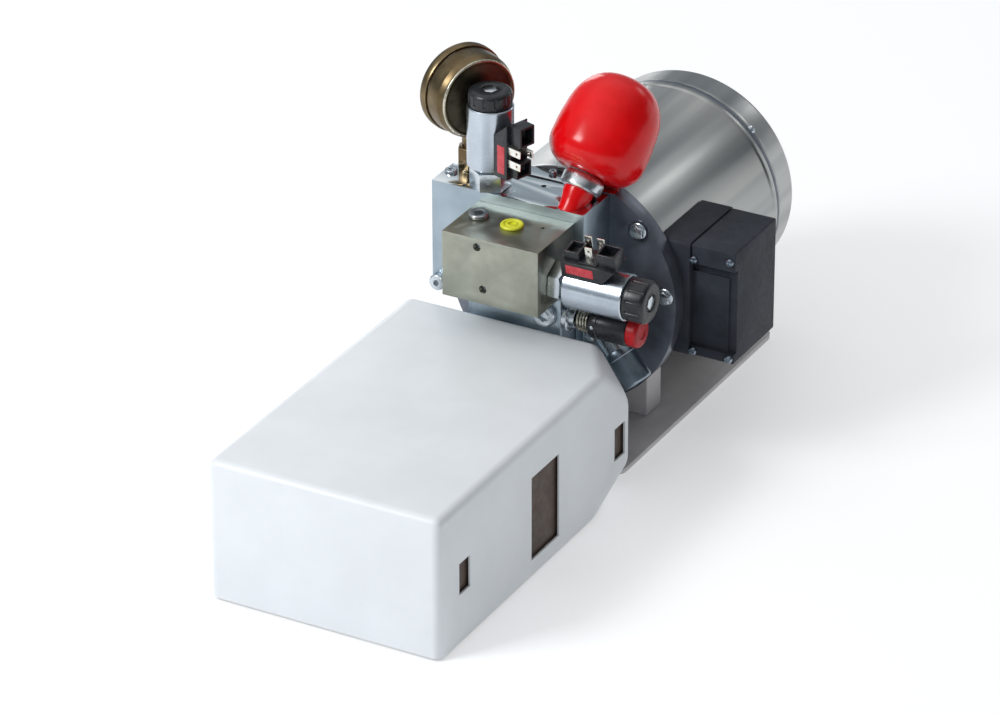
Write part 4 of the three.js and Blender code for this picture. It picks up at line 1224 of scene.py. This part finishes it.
def makePushValve():
    centre = centreOf("manual_valve_body")
    right = boxOf("pump_body")[1].x
    place = aimed(right, centre.y, centre.z, "X")
    body = turnPiece("valve_guide", [(4.4, -12), (7, -12), (7, 0.3), (12, 0.3), (12, 3.4),
        (11.4, 4), (8.6, 4.4), (8.6, 8.6), (8.2, 9), (4.4, 9), (4.4, -12)], 60)
    finishPiece(settle(body, place), zinc, "zinc", "manual_valve_body")
    makeSpring(place)
    r = push["radius"]
    knob = turnPiece("push_sleeve", [(0, -5.5), (4, -5.5), (4, 30), (10.6, 30), (10.6, 23.2),
        (11, 23), (r - 0.4, 23), (r, 23.6), (r, 29),
                                     (r - 0.7, 29.6), (r - 0.7, 31), (r, 31.6), (r, 52.6), (r - 1,
                                         54), (0, 54)], 72)
    cutWith(knob, settle(startPrism("cut", 1.7, -3, 3, 24), place.inverted()
        @ moved(right + 26.6, centre.y - r, centre.z + 1)
                         @ Matrix.Rotation(math.pi / 2, 4, "X")))
    finishPiece(settle(knob, place), nylon, "black_plastic", "manual_valve_knob", body="push_knob")
    pin = turnPiece("sleeve_pin", [(0, -2.4), (1.5, -2.4), (1.5, 0.2), (1.1, 0.5), (0, 0.5)], 24)
    finishPiece(settle(pin, aimed(right + 26.6, centre.y - r + 0.1, centre.z + 1, "-Y")), zinc,
        "zinc", body="push_knob")
    collar = turnPiece("push_collar", [(0, 54.3), (r - 1.2, 54.3), (r - 0.5, 55), (r - 0.5, 60.6)]
        + arcPoints((r - 3.5, 61.0), 3.0, 10, 90, 5)
                       + [(5, 64), (4.4, 63.2), (0, 63.2)], 72)
    finishPiece(settle(collar, place), redMould, "red_plastic", "manual_valve_collar", body="push_knob")
    print("push valve made")


def makeSpring(place):
    # a wire circle spun round the axis while it climbs
    p = push
    deselectAll()
    bpy.ops.mesh.primitive_circle_add(vertices=12, radius=p["wire"] * mm,
        location=(p["coilRadius"] * mm, 0, p["from"] * mm),
                                      rotation=(math.pi / 2, 0, 0))
    piece = bpy.context.object
    settle(piece)
    piece.name = "return_spring"
    applyModifier(piece, "SCREW", angle=2 * math.pi * p["turns"],
        screw_offset=p["turns"] * p["pitch"] * mm, steps=36 * p["turns"],
                  render_steps=36 * p["turns"], use_merge_vertices=False)
    openMesh(piece)
    bpy.ops.mesh.select_all(action="DESELECT")
    bpy.ops.mesh.select_non_manifold()
    bpy.ops.mesh.edge_face_add()
    bpy.ops.mesh.select_all(action="SELECT")
    bpy.ops.mesh.normals_make_consistent(inside=False)
    closeMesh()
    finishPiece(settle(piece, place), spring, "zinc", "manual_valve_spring")


outlet = {"pipe": 9.0, "length": 38.0, "cap": 12.8, "capAbove": 17.0}


def makeOutlet():
    joint = joints["cap_unscrew"]
    bend = Vector(joint["pos_m"]) / mm
    slope = Vector(joint["axis"])
    right = boxOf("centre_manifold")[1].x
    o = outlet
    place = aimed(*bend, slope)
    pipe = turnPiece("pipe", [(5, o["length"]), (5, 0), (o["pipe"], 0),
        (o["pipe"], o["length"] - 0.6), (o["pipe"] - 0.6, o["length"]), (5, o["length"])], 60)
    settle(pipe, place)
    deselectAll()
    bpy.ops.mesh.primitive_uv_sphere_add(segments=48, ring_count=24, radius=10 * mm, location=bend * mm)
    knee = bpy.context.object
    settle(knee)
    flange = turnPiece("flange", [(0, -10), (7, -10), (7, 0.3), (12.5, 0.3), (12.5, 5), (11.5, 6),
        (10, 6), (10, bend.x - right), (0, bend.x - right)], 60)
    settle(flange, aimed(right, bend.y, bend.z, "X"))
    piece = joinPieces("outlet_bend", pipe, knee, flange)
    finishPiece(piece, zinc, "zinc", "outlet_elbow")
    start, end = o["length"] - o["capAbove"], o["length"] + 13.5
    cap = [(0, end - 12), (9.3, end - 12), (9.3, start), (o["cap"] - 0.6, start),
        (o["cap"], start + 0.8), (o["cap"], start + 6),
           (o["cap"] - 0.5, start + 6.6), (o["cap"] - 0.5, end - 2.4)]
    cap += arcPoints((o["cap"] - 2.9, end - 2.4), 2.4, 0, 90, 5) + [(6, end), (5.4, end - 0.7),
        (0, end - 0.7)]
    piece = turnPiece("screw_plug", cap, 72)
    # the dark cap gets the pale blue-grey metal: a painted sheen
    finishPiece(settle(piece, place), bluedSteelAndSheen, "black_plastic", "outlet_cap", body="screw_cap")
    print("outlet made")


makeTankAndBase()
makeMotor()
makeTerminalBox()
makeManifold()
makeValveBlock()
makeValves()
makeGauge()
makeAccumulator()
makePushValve()
makeOutlet()


# Floor and light

studio = {
    "floor": 30.0, "paper": "#d6d8da", "glow": 0.42,
    "low": "#848b91", "middle": "#9aa3a9", "high": "#ffffff",   # the sky at the horizon, part way up and overhead
    "lamps": {
        "key": ((-1.35, -2.1, 1.95), (0.9, 0.9), 49.0),
        "strip": ((-1.55, 1.8, 0.62), (0.5, 0.9), 4.0),
        "back": ((0.75, 2.3, 1.4), (0.7, 0.5), 2.2),
        "right": ((1.6, 2.0, 0.5), (1.4, 0.8), 2.6),
    },
}


def makeStudio():
    deselectAll()
    bpy.ops.mesh.primitive_plane_add(size=studio["floor"])
    floor = bpy.context.object
    floor.name = "floor"
    paper = startMaterial("lit_studio_paper", studio["paper"], 0.0, 0.8, Specular_IOR_Level=0.1,
                          Emission_Color=(1, 1, 1, 1), Emission_Strength=studio["glow"])
    floor.data.materials.append(paper)
    for name, (spot, size, power) in studio["lamps"].items():
        bpy.ops.object.light_add(type="AREA", location=spot)
        lamp = bpy.context.object
        lamp.name = name
        lamp.data.shape = "RECTANGLE"
        lamp.data.energy = power
        lamp.data.size, lamp.data.size_y = size
        lamp.rotation_mode = "QUATERNION"
        lamp.rotation_quaternion = (Vector(spot) - Vector((0, -0.1, 0.1))).to_track_quat("Z", "Y")
    world = bpy.data.worlds.new("studio")
    bpy.context.scene.world = world
    world.use_nodes = True
    # pale overhead and grey towards the horizon, and darker on the terminal box's side
    coords = addNode(world, "TexCoord")
    split = addNode(world, "SeparateXYZ", {"Vector": coords.outputs["Generated"]})
    ramp = addNode(world, "ValToRGB", {"Fac": split.outputs["Z"]})
    stops = ramp.color_ramp.elements
    stops[0].position, stops[0].color = 0.0, toLinear(studio["low"])
    stops[1].position, stops[1].color = 0.8, toLinear(studio["high"])
    stop = stops.new(0.5)
    stop.color = toLinear(studio["middle"])
    shade = addNode(world, "MapRange", {
        "Value": split.outputs["X"], "From Min": -0.2, "From Max": 0.8, "To Min": 1.0, "To Max": 0.28})
    background = world.node_tree.nodes["Background"]
    world.node_tree.links.new(ramp.outputs["Color"], background.inputs["Color"])
    world.node_tree.links.new(shade.outputs["Result"], background.inputs["Strength"])


makeStudio()
bpy.context.scene.view_settings.view_transform = "Standard"
print("studio made")
